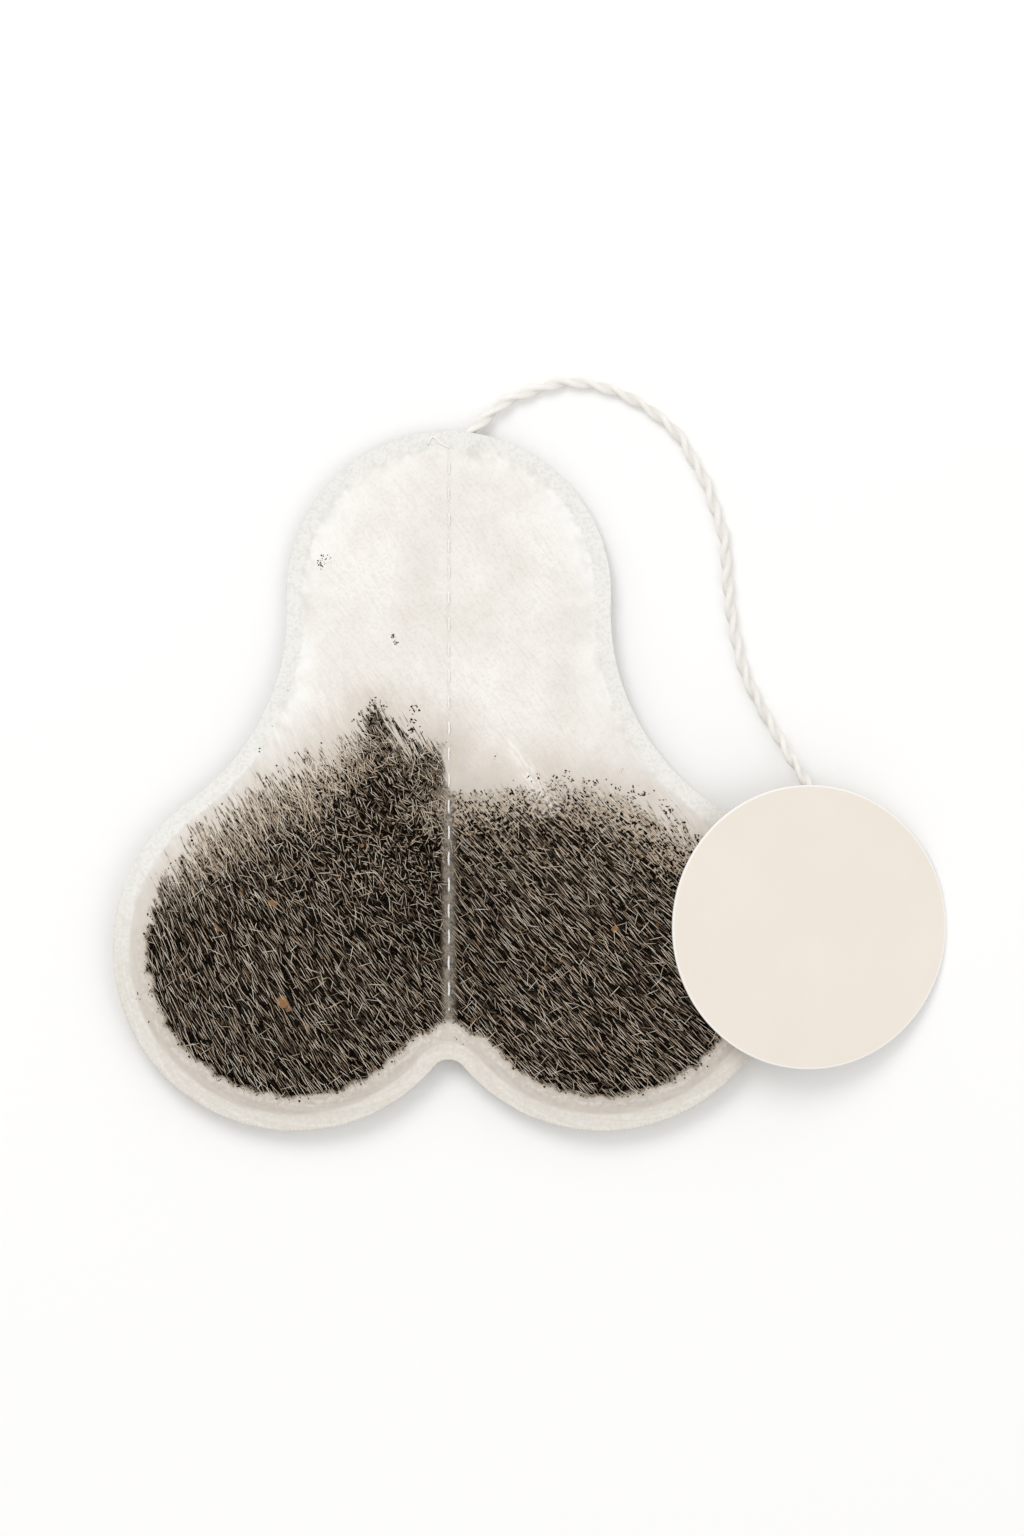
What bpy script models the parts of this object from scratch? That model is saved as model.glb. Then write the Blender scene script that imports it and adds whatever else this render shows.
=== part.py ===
"""A two-chamber tea bag with a sewn centre seam, a cotton string and a round card tag.

It lies flat on its back sheet. +X is to the right, +Y runs from the two lobes up to the head, +Z is up.
The origin is under the middle of the bag, on the surface that it lies on.
"""

import math

import bmesh
import bpy
import numpy as np
from mathutils import Matrix, Vector
from mathutils.geometry import delaunay_2d_cdt

MM = 0.001

# Outline of the bag: a round head, two round lobes, a hollow flank and a small notch between the lobes
HEAD_RADIUS = 16.25 * MM
HEAD_Y = 18.7 * MM
LOBE_RADIUS = 18.2 * MM
LOBE_OVERLAP = 2.85 * MM
LOBE_X = LOBE_RADIUS - LOBE_OVERLAP
LOBE_Y = -16.75 * MM
FLANK_RADIUS = 23.0 * MM
NOTCH_RADIUS = 1.85 * MM
EDGE_STEP = 1.5 * MM
CROWN_STEP = 0.45 * MM
CROWN_HALF_WIDTH = 3.8 * MM

# Filter paper and its heat seal
PAPER = 0.12 * MM
SEAL_WIDTH = 1.7 * MM
SEAL_GAP = 0.05 * MM
LOBE_MID_HEIGHT = 2.2 * MM
HEAD_MID_HEIGHT = 1.3 * MM
LOBE_LEVEL_Y = -10.0 * MM
HEAD_LEVEL_Y = 30.0 * MM
FRONT_LOBE_RISE = 5.0 * MM
FRONT_HEAD_RISE = 2.1 * MM
BACK_LOBE_DROP = 3.2 * MM
BACK_HEAD_DROP = 1.7 * MM
EDGE_REACH = 14.0 * MM
SEAM_REACH = 12.5 * MM
TEA_LINE_LOW = -6.0 * MM
TEA_LINE_HIGH = 9.0 * MM
PUCKER_RISE = 0.22 * MM
PUCKER_LENGTH = 6.4 * MM
PUCKER_WIDTH = 1.6 * MM
PUCKER_SEAM_REACH = 1.95 * MM
RIM_WAVE = 0.18 * MM
RIM_WAVE_LENGTH = 23.0 * MM
RIM_WAVE_FROM_SEAM = 4.0 * MM
RIM_WAVE_FADE = 5.0 * MM
GRID_STEP = 2.3 * MM
GRID_FOLD_SHARE = 0.5
GRID_SEAM_SHARE = 0.4
POINT_GAP = 0.25 * MM

# Running stitch along the centre, with a short tail of thread on the top of the seal
THREAD_RADIUS = 0.13 * MM
HOLE_RADIUS = 0.3 * MM
HOLE_SIDES = 6
STITCH_PITCH = 2.6 * MM
SEAM_TOP = 33.2 * MM
SEAM_BOTTOM = -23.8 * MM
SEAM_HALF_WIDTH = 0.65 * MM
SEAM_SHOULDER = 1.5 * MM
THREAD_CLEARANCE = 0.03 * MM
TAIL_ROUTE = ((-1.0, 33.85), (-1.65, 34.35), (-2.1, 33.6))

# Tea in each chamber: it follows the lobe below. Its upper edge, in millimetres from the seam and from the
# middle of the bag, runs from the outer side to the seam.
TEA_INSET = 3.3 * MM
TEA_CLEARANCE = 0.3 * MM
TEA_SEAM_GAP = 1.6 * MM
TEA_EDGE_THICKNESS = 0.6 * MM
TEA_TAPER = 6.0 * MM
TEA_GRID = 2.6 * MM
TEA_LEFT_TOP = ((26.2, -6.6), (22.9, -3.2), (19.2, -0.7), (15.0, 1.4), (11.0, 3.8), (7.6, 6.4), (4.2, 5.0))
TEA_LEFT_SEAM_END = 2.4 * MM
TEA_RIGHT_TOP = ((26.0, -6.9), (22.6, -3.8), (18.4, -1.6), (14.4, -0.1), (9.6, 0.2), (5.4, -0.2), (3.0, -0.8))
TEA_RIGHT_SEAM_END = -2.2 * MM

# Card tag, leaning on the right lobe with its far edge on the table
TABLE_GAP = 0.02 * MM
TAG_RADIUS = 14.15 * MM
TAG_THICKNESS = 0.4 * MM
TAG_X = 35.9 * MM
TAG_Y = -14.55 * MM
TAG_SIDES = 64
SEAT_GAP = 0.1 * MM

# Cotton string: its route in millimetres from the sealed end to the tag, chosen by eye
STRING_RADIUS = 0.6 * MM
STRING_SEALED_SHARE = 0.55
STRING_STEP = 1.7 * MM
STRING_CLEARANCE = 0.12 * MM
STRING_BULGE_SPREAD = 3.2
STRING_BULGE_ROWS = (-1.8, -1.2, -0.6, 0.0, 0.6, 1.2, 1.8)
STRING_SEALED = ((2.0, 31.3), (1.9, 32.4), (1.95, 33.6))
STRING_EXIT = (2.2, 34.75)
STRING_LYING = (
    (3.85, 36.3, 1.0),
    (5.6, 37.8, 0.78),
    (7.95, 38.8, 0.66),
    (11.2, 39.75, 0.62),
    (14.4, 39.55, 0.62),
    (17.6, 38.5, 0.62),
    (20.3, 36.9, 0.62),
    (22.9, 34.6, 0.62),
    (24.4, 32.1, 0.62),
    (25.7, 29.7, 0.62),
    (26.7, 26.8, 0.62),
    (27.5, 24.15, 0.62),
    (27.75, 20.9, 0.62),
    (28.05, 17.7, 0.62),
    (28.6, 14.5, 0.62),
    (29.5, 10.95, 0.62),
    (31.0, 7.7, 0.75),
    (32.5, 5.1, 1.1),
)
STRING_UNDER_TAG = ((34.2, 2.2), (35.7, -0.4), (36.2, -3.4), (36.0, -6.4), (35.8, -9.4))
STRING_RISE_SHARE = (0.75, 1.0, 1.0, 1.0, 1.0)


def smoothstep(value, low, high):
    share = np.clip((np.asarray(value, float) - low) / (high - low), 0.0, 1.0)
    return share * share * (3.0 - 2.0 * share)


def swell(distance, reach):
    """A soft rise from 0 at the edge to 1 at the given reach."""
    share = np.clip(np.asarray(distance, float) / reach, 0.0, 1.0)
    return share * (2.0 - share)


def flank_centre():
    """The centre of the hollow flank, whose circle touches the head's and the lobe's from outside."""
    across, along = LOBE_X, LOBE_Y - HEAD_Y
    between = math.hypot(across, along)
    to_head = HEAD_RADIUS + FLANK_RADIUS
    to_lobe = LOBE_RADIUS + FLANK_RADIUS
    share = (to_head**2 - to_lobe**2 + between**2) / (2.0 * between)
    side = math.sqrt(to_head**2 - share**2)
    unit = (across / between, along / between)
    return (unit[0] * share - unit[1] * side, HEAD_Y + unit[1] * share + unit[0] * side)


def notch_centre():
    return (0.0, LOBE_Y - math.sqrt((LOBE_RADIUS + NOTCH_RADIUS) ** 2 - LOBE_X**2))


def heading(start, end):
    return math.atan2(end[1] - start[1], end[0] - start[0])


def arc(centre, radius, first, last, count):
    """Points along an arc, without its last point."""
    angles = first + (last - first) * np.arange(count) / count
    return [(centre[0] + radius * math.cos(a), centre[1] + radius * math.sin(a)) for a in angles]


def bag_loop(inset):
    """The bag's outline at a distance inside its edge, as one closed ring of points."""
    head, lobe = (0.0, HEAD_Y), (LOBE_X, LOBE_Y)
    flank, notch = flank_centre(), notch_centre()
    crown_end = math.pi / 2 - CROWN_HALF_WIDTH / HEAD_RADIUS
    head_end = heading(head, flank)
    flank_first = heading(flank, head) % (2.0 * math.pi)
    flank_last = heading(flank, lobe) % (2.0 * math.pi)
    lobe_first = heading(lobe, flank)
    lobe_last = heading(lobe, notch) - 2.0 * math.pi * (heading(lobe, notch) > 0)
    notch_first = heading(notch, lobe)
    pieces = (
        (head, HEAD_RADIUS, -inset, math.pi / 2, crown_end, CROWN_STEP),
        (head, HEAD_RADIUS, -inset, crown_end, head_end, EDGE_STEP),
        (flank, FLANK_RADIUS, inset, flank_first, flank_last, EDGE_STEP),
        (lobe, LOBE_RADIUS, -inset, lobe_first, lobe_last, EDGE_STEP),
        (notch, NOTCH_RADIUS, inset, notch_first, math.pi / 2, EDGE_STEP / 2),
    )
    right = []
    for centre, radius, change, first, last, step in pieces:
        count = max(2, round(abs(last - first) * radius / step))
        right += arc(centre, radius + change, first, last, count)
    bottom = (0.0, notch[1] + NOTCH_RADIUS + inset)
    left = [(-x, y) for x, y in reversed(right[1:])]
    return right + [bottom] + left


EDGE_LOOP = np.array(bag_loop(0.0))
EDGE_ENDS = np.roll(EDGE_LOOP, -1, axis=0)
EDGE_RUN = np.concatenate([[0.0], np.cumsum(np.hypot(*(EDGE_ENDS - EDGE_LOOP).T))])


def nearest_edge(x, y):
    """How far each point lies from the bag's edge, and how far round the edge its nearest point is."""
    points = np.stack([np.asarray(x, float), np.asarray(y, float)], axis=-1).reshape(-1, 1, 2)
    along = EDGE_ENDS - EDGE_LOOP
    share = ((points - EDGE_LOOP) * along).sum(2) / (along**2).sum(1)
    share = np.clip(share, 0.0, 1.0)
    gaps = np.linalg.norm(points - EDGE_LOOP - share[..., None] * along, axis=2)
    best = gaps.argmin(1)
    rows = np.arange(len(best))
    run = EDGE_RUN[best] + share[rows, best] * np.hypot(*along[best].T)
    return gaps[rows, best], run


def route_gap(x, y, route):
    """How far each point lies from a flat route, and the share of the route that is nearest."""
    points = np.stack([np.asarray(x, float), np.asarray(y, float)], axis=-1).reshape(-1, 1, 2)
    route = np.array(route)
    along = route[1:] - route[:-1]
    share = np.clip(((points - route[:-1]) * along).sum(2) / (along**2).sum(1), 0.0, 1.0)
    gaps = np.linalg.norm(points - route[:-1] - share[..., None] * along, axis=2)
    best = gaps.argmin(1)
    rows = np.arange(len(best))
    return gaps[rows, best], (best + share[rows, best]) / len(along)


def mid_height(x, y):
    """The height of the seal's middle over the table."""
    edge, run = nearest_edge(x, y)
    at_head = smoothstep(y, LOBE_LEVEL_Y, HEAD_LEVEL_Y)
    level = LOBE_MID_HEIGHT + (HEAD_MID_HEIGHT - LOBE_MID_HEIGHT) * at_head
    wave = RIM_WAVE * np.sin(2.0 * math.pi * run / RIM_WAVE_LENGTH)
    by_edge = 1.0 - smoothstep(edge, 0.0, 2.0 * SEAL_WIDTH)
    off_seam = smoothstep(np.abs(x), RIM_WAVE_FROM_SEAM, RIM_WAVE_FROM_SEAM + RIM_WAVE_FADE)
    return level + wave * by_edge * off_seam


def filled(x, y, lobe_value, head_value):
    """A value that changes from the lobes, which hold the tea, to the empty head."""
    empty = smoothstep(y, TEA_LINE_LOW, TEA_LINE_HIGH)
    edge, _ = nearest_edge(x, y)
    rise = lobe_value + (head_value - lobe_value) * empty
    return rise * swell(edge - SEAL_WIDTH, EDGE_REACH) * swell(np.abs(x) - SEAM_HALF_WIDTH, SEAM_REACH)


def pucker(x, y):
    """Small folds just inside the seal, where the flat paper is gathered into the pillow."""
    edge, run = nearest_edge(x, y)
    fold = 0.5 + 0.5 * np.sin(2.0 * math.pi * run / PUCKER_LENGTH)
    inside = (edge - SEAL_WIDTH) / PUCKER_WIDTH
    return PUCKER_RISE * fold * np.where(inside > 0.0, inside * np.exp(1.0 - inside), 0.0)


def string_bulge(x, y):
    """Half the height that the sheets stand apart round the sealed end of the string."""
    gap, share = route_gap(x, y, np.array((*STRING_SEALED, STRING_EXIT)) * MM)
    radius = STRING_RADIUS * (STRING_SEALED_SHARE + (1.0 - STRING_SEALED_SHARE) * share)
    width = STRING_BULGE_SPREAD * radius
    return (radius + STRING_CLEARANCE) * np.clip(1.0 - (gap / width) ** 2, 0.0, 1.0) ** 2


def front_inner(x, y):
    """The lower side of the front sheet."""
    rise = filled(x, y, FRONT_LOBE_RISE, FRONT_HEAD_RISE)
    seam = swell(np.abs(x) - SEAM_HALF_WIDTH, PUCKER_SEAM_REACH)
    rise = np.maximum(rise + pucker(x, y) * seam, string_bulge(x, y))
    return mid_height(x, y) + SEAL_GAP / 2 + rise


def back_outer(x, y):
    """The underside of the back sheet, flat on the table where it would sink through it."""
    drop = np.maximum(filled(x, y, BACK_LOBE_DROP, BACK_HEAD_DROP), string_bulge(x, y))
    return np.maximum(mid_height(x, y) - SEAL_GAP / 2 - PAPER - drop, 0.0)


def hex_grid(step):
    """Points of a triangular grid over the whole bag."""
    reach_x, reach_y = np.abs(EDGE_LOOP).max(0)
    row_step = step * math.sqrt(0.75)
    columns = math.ceil(reach_x / step)
    rows = math.ceil(reach_y / row_step)
    return [
        ((column + 0.5 * (row % 2)) * step, row * row_step)
        for row in range(-rows, rows + 1)
        for column in range(-columns, columns + 1)
    ]


def inside_loop(points, loop):
    """Whether each point lies inside a closed ring."""
    x, y = np.array(points).T
    crossed = np.zeros(len(x), bool)
    for (x0, y0), (x1, y1) in zip(loop, np.roll(loop, -1, axis=0)):
        if y0 == y1:
            continue
        at = x0 + (y - y0) * (x1 - x0) / (y1 - y0)
        crossed ^= ((y0 > y) != (y1 > y)) & (x < at)
    return crossed


def triangulate(rings, loose):
    """Triangles over the first ring, with the loose points in them and the other rings as holes."""
    points, edges = [], []
    for ring in rings:
        start = len(points)
        points += [Vector(p) for p in ring]
        edges += [(start + i, start + (i + 1) % len(ring)) for i in range(len(ring))]
    points += [Vector(p) for p in loose]
    verts, _, faces, *_ = delaunay_2d_cdt(points, edges, [], 1, 1e-9)
    centres = [sum((verts[i] for i in face), Vector((0, 0))) / len(face) for face in faces]
    flat = [tuple(c) for c in centres]
    keep = inside_loop(flat, np.array(rings[0]))
    for ring in rings[1:]:
        centre = np.array(ring).mean(0)
        keep &= np.linalg.norm(np.array(flat) - centre, axis=1) > 0.5 * HOLE_RADIUS
    return [tuple(v) for v in verts], [face for face, kept in zip(faces, keep) if kept]


def stitch_holes():
    """Where the thread passes through both sheets, from the top down."""
    count = int((SEAM_TOP - SEAM_BOTTOM) / (STITCH_PITCH / 2)) + 1
    return [SEAM_TOP - i * STITCH_PITCH / 2 for i in range(count)]


def sheet_layout():
    """The flat mesh that both sheets share, with every stitch hole in it."""
    fold_inset = SEAL_WIDTH + PUCKER_WIDTH
    rings = [bag_loop(0.0)]
    for y in stitch_holes():
        rings.append(arc((0.0, y), HOLE_RADIUS, 0.0, 2.0 * math.pi, HOLE_SIDES))
    loose = bag_loop(SEAL_WIDTH) + bag_loop(fold_inset)
    rows = [SEAM_TOP + STITCH_PITCH / 2, *stitch_holes(), SEAM_BOTTOM - STITCH_PITCH / 2]
    for x in (SEAM_HALF_WIDTH, SEAM_SHOULDER):
        loose += [(side * x, y) for y in rows for side in (-1, 1)]
    route = [Vector(p) * MM for p in (*STRING_SEALED, STRING_EXIT)]
    for start, end in zip(route, route[1:]):
        across = (end - start).orthogonal().normalized()
        for share in (0.0, 0.5):
            centre = start.lerp(end, share)
            loose += [tuple(centre + across * row * STRING_RADIUS) for row in STRING_BULGE_ROWS]
    grid = hex_grid(GRID_STEP)
    edge, _ = nearest_edge(*np.array(grid).T)
    inner = inside_loop(grid, EDGE_LOOP)
    grid_inset = fold_inset + GRID_FOLD_SHARE * GRID_STEP
    grid_from_seam = SEAM_SHOULDER + GRID_SEAM_SHARE * GRID_STEP
    for point, gap, kept in zip(grid, edge, inner):
        if kept and gap > grid_inset and abs(point[0]) > grid_from_seam:
            loose.append(point)
    held = [p for p in loose if nearest_edge(*p)[0][0] > POINT_GAP]
    return triangulate(rings, thinned(held, POINT_GAP, rings[1:]))


def thinned(points, gap, holes):
    """The points without those that crowd an earlier one or lie in a hole."""
    kept = []
    centres = [Vector(ring[0]) - Vector((HOLE_RADIUS, 0.0)) for ring in holes]
    for point in map(Vector, points):
        if any((point - other).length < gap for other in kept):
            continue
        if all((point - centre).length > HOLE_RADIUS + 0.5 * gap for centre in centres):
            kept.append(point)
    return kept


def add_object(name, mesh, material):
    thing = bpy.data.objects.new(name, mesh)
    bpy.data.collections["tea_bag"].objects.link(thing)
    thing.data.materials.append(material)
    return thing


def make_material(name, colour, roughness):
    material = bpy.data.materials.new(name)
    material.use_nodes = True
    shader = material.node_tree.nodes["Principled BSDF"]
    shader.inputs["Base Color"].default_value = (*colour, 1.0)
    shader.inputs["Roughness"].default_value = roughness
    shader.inputs["Metallic"].default_value = 0.0
    return material


def make_sheet(name, layout, height, faces_up, material):
    """One sheet of filter paper: a surface given by its height, with the paper's thickness above it."""
    verts, faces = layout
    heights = height(*np.array(verts).T)
    mesh = bpy.data.meshes.new(name)
    if not faces_up:
        faces = [face[::-1] for face in faces]
    mesh.from_pydata([(x, y, z) for (x, y), z in zip(verts, heights)], [], faces)
    mesh.shade_smooth()
    sheet = add_object(name, mesh, material)
    thick = sheet.modifiers.new("paper", "SOLIDIFY")
    thick.thickness = PAPER
    thick.offset = 1.0 if faces_up else -1.0
    return sheet


def tea_ring(top, seam_end):
    """The outline of one fill of tea seen from above, as if it were the right one, and its upper edge."""
    radius = LOBE_RADIUS - TEA_INSET
    lobe = (LOBE_X, LOBE_Y)
    top = [(x * MM, y * MM) for x, y in top]
    first = heading(lobe, top[0])
    seam_angle = math.acos((LOBE_X - TEA_SEAM_GAP) / radius)
    last = seam_angle - math.pi
    lower = arc(lobe, radius, first, last, round((first - last) * radius / TEA_GRID))[1:]
    seam_start = LOBE_Y - radius * math.sin(seam_angle)
    steps = round((seam_end - seam_start) / TEA_GRID)
    rise = [(TEA_SEAM_GAP, seam_start + (seam_end - seam_start) * i / steps) for i in range(steps + 1)]
    return lower + rise + top[::-1], [rise[-1], *top[::-1]]


def slab(name, verts, faces, low, high):
    """A closed solid between two heights over the same flat triangles."""
    solid = bmesh.new()
    under = [solid.verts.new((x, y, z)) for (x, y), z in zip(verts, low)]
    over = [solid.verts.new((x, y, z)) for (x, y), z in zip(verts, high)]
    borders = {(a, b) for face in faces for a, b in zip(face, (*face[1:], face[0]))}
    for face in faces:
        solid.faces.new([under[i] for i in reversed(face)])
        solid.faces.new([over[i] for i in face])
    for a, b in sorted(borders):
        if (b, a) not in borders:
            solid.faces.new((under[a], under[b], over[b], over[a]))
    mesh = bpy.data.meshes.new(name)
    solid.to_mesh(mesh)
    solid.free()
    mesh.shade_smooth()
    return mesh


def make_tea(name, side, top, seam_end, material):
    """The tea in one chamber: it fills the space between the sheets and thins out at its upper edge."""
    ring, upper_edge = ([(side * x, y) for x, y in line] for line in tea_ring(top, seam_end))
    grid = hex_grid(TEA_GRID)
    kept = inside_loop(grid, np.array(ring))
    gaps, _ = route_gap(*np.array(grid).T, [*ring, ring[0]])
    loose = [p for p, inside, gap in zip(grid, kept, gaps) if inside and gap > 0.5 * TEA_GRID]
    verts, faces = triangulate([ring], loose)
    x, y = np.array(verts).T
    low = back_outer(x, y) + PAPER + TEA_CLEARANCE
    high = front_inner(x, y) - TEA_CLEARANCE
    from_edge, _ = route_gap(x, y, upper_edge)
    thin = low + TEA_EDGE_THICKNESS + (high - low) * smoothstep(from_edge, 0.0, TEA_TAPER)
    return add_object(name, slab(name, verts, faces, low, np.minimum(high, thin)), material)


def make_tube(name, points, radius, sides, material, shares=None):
    """A round tube along a row of points, closed at both ends."""
    curve = bpy.data.curves.new(name, "CURVE")
    curve.dimensions = "3D"
    curve.bevel_depth = radius
    curve.bevel_resolution = sides // 2 - 2
    curve.use_fill_caps = True
    spline = curve.splines.new("POLY")
    spline.points.add(len(points) - 1)
    for i, point in enumerate(points):
        spline.points[i].co = (*point, 1.0)
        spline.points[i].radius = 1.0 if shares is None else shares[i]
    return add_object(name, curve, material)


def make_thread(material):
    """The seam's thread: in and out of the holes, with its tail on the seal."""
    level = PAPER + THREAD_RADIUS + THREAD_CLEARANCE
    points = [(x * MM, y * MM) for x, y in reversed(TAIL_ROUTE)]
    route = [(x, y, float(front_inner(x, y)[0]) + level) for x, y in points]
    below = PAPER - level
    for i, y in enumerate(stitch_holes()):
        over = (0.0, y, float(front_inner(0.0, y)[0]) + level)
        under = (0.0, y, float(back_outer(0.0, y)[0]) + below)
        route += [over, under] if i % 2 == 0 else [under, over]
    return make_tube("seam_thread", route, THREAD_RADIUS, 6, material)


def tag_tilt():
    """The least tilt at which the tag clears the lobe under it, with its far edge on the table."""
    span = np.arange(-TAG_RADIUS, TAG_RADIUS, 0.5 * MM)
    x, y = (part.ravel() for part in np.meshgrid(TAG_X + span, TAG_Y + span))
    near = (x - TAG_X) ** 2 + (y - TAG_Y) ** 2 < TAG_RADIUS**2
    near &= inside_loop(np.stack([x, y], axis=1), EDGE_LOOP)
    x, y = x[near], y[near]
    top = front_inner(x, y) + PAPER
    slope = (top + 2.0 * SEAT_GAP - TABLE_GAP) / (TAG_X + TAG_RADIUS - x)
    return math.atan(float(slope.max()))


def make_tag(tilt, material):
    disc = bmesh.new()
    bmesh.ops.create_cone(
        disc, cap_ends=True, segments=TAG_SIDES, radius1=TAG_RADIUS, radius2=TAG_RADIUS, depth=TAG_THICKNESS
    )
    mesh = bpy.data.meshes.new("tag")
    disc.to_mesh(mesh)
    disc.free()
    tag = add_object("tag", mesh, material)
    height = TABLE_GAP + TAG_RADIUS * math.sin(tilt) + 0.5 * TAG_THICKNESS * math.cos(tilt)
    tag.matrix_world = Matrix.Translation((TAG_X, TAG_Y, height)) @ Matrix.Rotation(tilt, 4, "Y")
    return tag


def smooth_route(points, step):
    """A smooth line through the points, resampled at even steps."""
    ends = [points[0] * 2 - points[1], *points, points[-1] * 2 - points[-2]]
    dense = []
    for a, b, c, d in zip(ends, ends[1:], ends[2:], ends[3:]):
        for i in range(20):
            t = i / 20
            bend = (2 * a - 5 * b + 4 * c - d) * t * t + (3 * b - a - 3 * c + d) * t**3
            dense.append((2 * b + (c - a) * t + bend) / 2)
    dense.append(points[-1])
    run = np.concatenate([[0.0], np.cumsum([(q - p).length for p, q in zip(dense, dense[1:])])])
    count = round(run[-1] / step) + 1
    at = np.linspace(0.0, run[-1], count)
    return np.stack([np.interp(at, run, [p[k] for p in dense]) for k in range(3)], axis=1), at


def make_string(tilt, material):
    """The string: sealed between the sheets, laid on the table, and bonded to the tag's underside."""
    sealed = [(x * MM, y * MM) for x, y in (*STRING_SEALED, STRING_EXIT)]
    points = [Vector((x, y, float(mid_height(x, y)[0]))) for x, y in sealed]
    points += [Vector(p) * MM for p in STRING_LYING]
    hang = (STRING_RADIUS + SEAT_GAP) / math.cos(tilt)
    for (x, y), share in zip(STRING_UNDER_TAG, STRING_RISE_SHARE):
        under = (TAG_X + TAG_RADIUS * math.cos(tilt) - x * MM) * math.tan(tilt) - hang
        points.append(Vector((x * MM, y * MM, under * share)))
    route, run = smooth_route(points, STRING_STEP)
    sealed_run = sum((b - a).length for a, b in zip(points[:3], points[1:4]))
    shares = STRING_SEALED_SHARE + (1.0 - STRING_SEALED_SHARE) * np.clip(run / sealed_run, 0.0, 1.0)
    return make_tube("string", route.tolist(), STRING_RADIUS, 8, material, shares.tolist())


def build():
    for old in list(bpy.data.objects):
        bpy.data.objects.remove(old)
    bpy.context.scene.collection.children.link(bpy.data.collections.new("tea_bag"))
    paper = make_material("filter_paper", (0.87, 0.85, 0.81), 0.8)
    leaf = make_material("tea_leaf", (0.05, 0.04, 0.03), 0.9)
    cotton = make_material("cotton", (0.84, 0.81, 0.75), 0.85)
    card = make_material("card", (0.82, 0.75, 0.66), 0.6)
    layout = sheet_layout()
    make_sheet("front_sheet", layout, front_inner, True, paper)
    make_sheet("back_sheet", layout, back_outer, False, paper)
    make_tea("tea_left", -1, TEA_LEFT_TOP, TEA_LEFT_SEAM_END, leaf)
    make_tea("tea_right", 1, TEA_RIGHT_TOP, TEA_RIGHT_SEAM_END, leaf)
    make_thread(cotton)
    tilt = tag_tilt()
    make_tag(tilt, card)
    make_string(tilt, cotton)


build()
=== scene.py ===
"""The looks of a two-chamber tea bag that lies on its back, seen from straight above.

The sheets of filter paper, the tea, the stitches, the string and the tag are fitted to the frame's solids.
"""

import math

import bpy
import numpy as np
from mathutils import Matrix, Vector, noise
from mathutils.bvhtree import BVHTree
from mathutils.geometry import delaunay_2d_cdt


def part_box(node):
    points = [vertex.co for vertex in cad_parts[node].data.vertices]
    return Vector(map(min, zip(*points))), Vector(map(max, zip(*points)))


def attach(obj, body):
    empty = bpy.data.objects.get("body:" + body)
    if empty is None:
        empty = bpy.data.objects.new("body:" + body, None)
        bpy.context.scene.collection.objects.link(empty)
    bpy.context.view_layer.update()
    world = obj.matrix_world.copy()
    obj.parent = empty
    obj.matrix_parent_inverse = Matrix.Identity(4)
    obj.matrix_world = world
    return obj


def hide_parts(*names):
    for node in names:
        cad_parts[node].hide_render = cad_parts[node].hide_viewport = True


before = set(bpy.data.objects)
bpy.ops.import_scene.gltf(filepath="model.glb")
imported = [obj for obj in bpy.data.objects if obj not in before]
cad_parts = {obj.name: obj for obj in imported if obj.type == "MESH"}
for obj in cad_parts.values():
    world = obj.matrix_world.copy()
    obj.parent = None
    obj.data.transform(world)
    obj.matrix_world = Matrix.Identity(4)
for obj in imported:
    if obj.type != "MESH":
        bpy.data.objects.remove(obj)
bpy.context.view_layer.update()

MM = 0.001
BODY = "root"
RANDOM = np.random.default_rng(11)

# Outline of the bag, as in the solids
HEAD_RADIUS = 16.25 * MM
HEAD_Y = 18.7 * MM
LOBE_RADIUS = 18.2 * MM
LOBE_OVERLAP = 2.85 * MM
LOBE_X = LOBE_RADIUS - LOBE_OVERLAP
LOBE_Y = -16.75 * MM
FLANK_RADIUS = 23.0 * MM
NOTCH_RADIUS = 1.85 * MM
SEAL_WIDTH = 1.7 * MM
PAPER = 0.1 * MM
PAPER_STEP = 0.42 * MM
RING_INSETS = (0.03, 0.12, 0.4, 0.8, 1.2, 1.5, 1.7, 1.95, 2.25, 2.6, 3.0)
SEAM_LINES = (0.0, 0.22, 0.45, 0.7, 1.0, 1.35)

# Stitches, as in the solids
THREAD_RADIUS = 0.11 * MM
STITCH_PITCH = 2.6 * MM
SEAM_TOP = 33.2 * MM
SEAM_BOTTOM = -23.8 * MM
SEAM_FOOT_Y = -26.4 * MM
SEAM_FOOT_RADIUS = 2.3 * MM
THREAD_TAIL = ((-2.1, 33.6), (-1.95, 34.0), (-1.65, 34.35), (-1.35, 34.2), (-1.0, 33.85), (-0.4, 33.5))

# Tea
TEA_FROM_SEAM = 0.15 * MM
TEA_STEP = 0.6 * MM
FILL_SOLID_FROM_SEAM = 3.2 * MM
# A fill's body under the front sheet and over the back one: its gap, its roughness, its most of the room
LEAF_UNDER_FRONT = (0.22 * MM, 0.10 * MM, 0.4)
LEAF_OVER_BACK = (0.15 * MM, 0.06 * MM, 0.3)
GRAINS_PER_SIDE = 4400
FIBRE_SPACING = (0.82, 0.225)
EDGE_FIBRES_PER_SIDE = (1200, 520)
RIM_CRUMBS_PER_SIDE = (130, 330)
LOW_CRUMBS_PER_SIDE = 260
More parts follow.
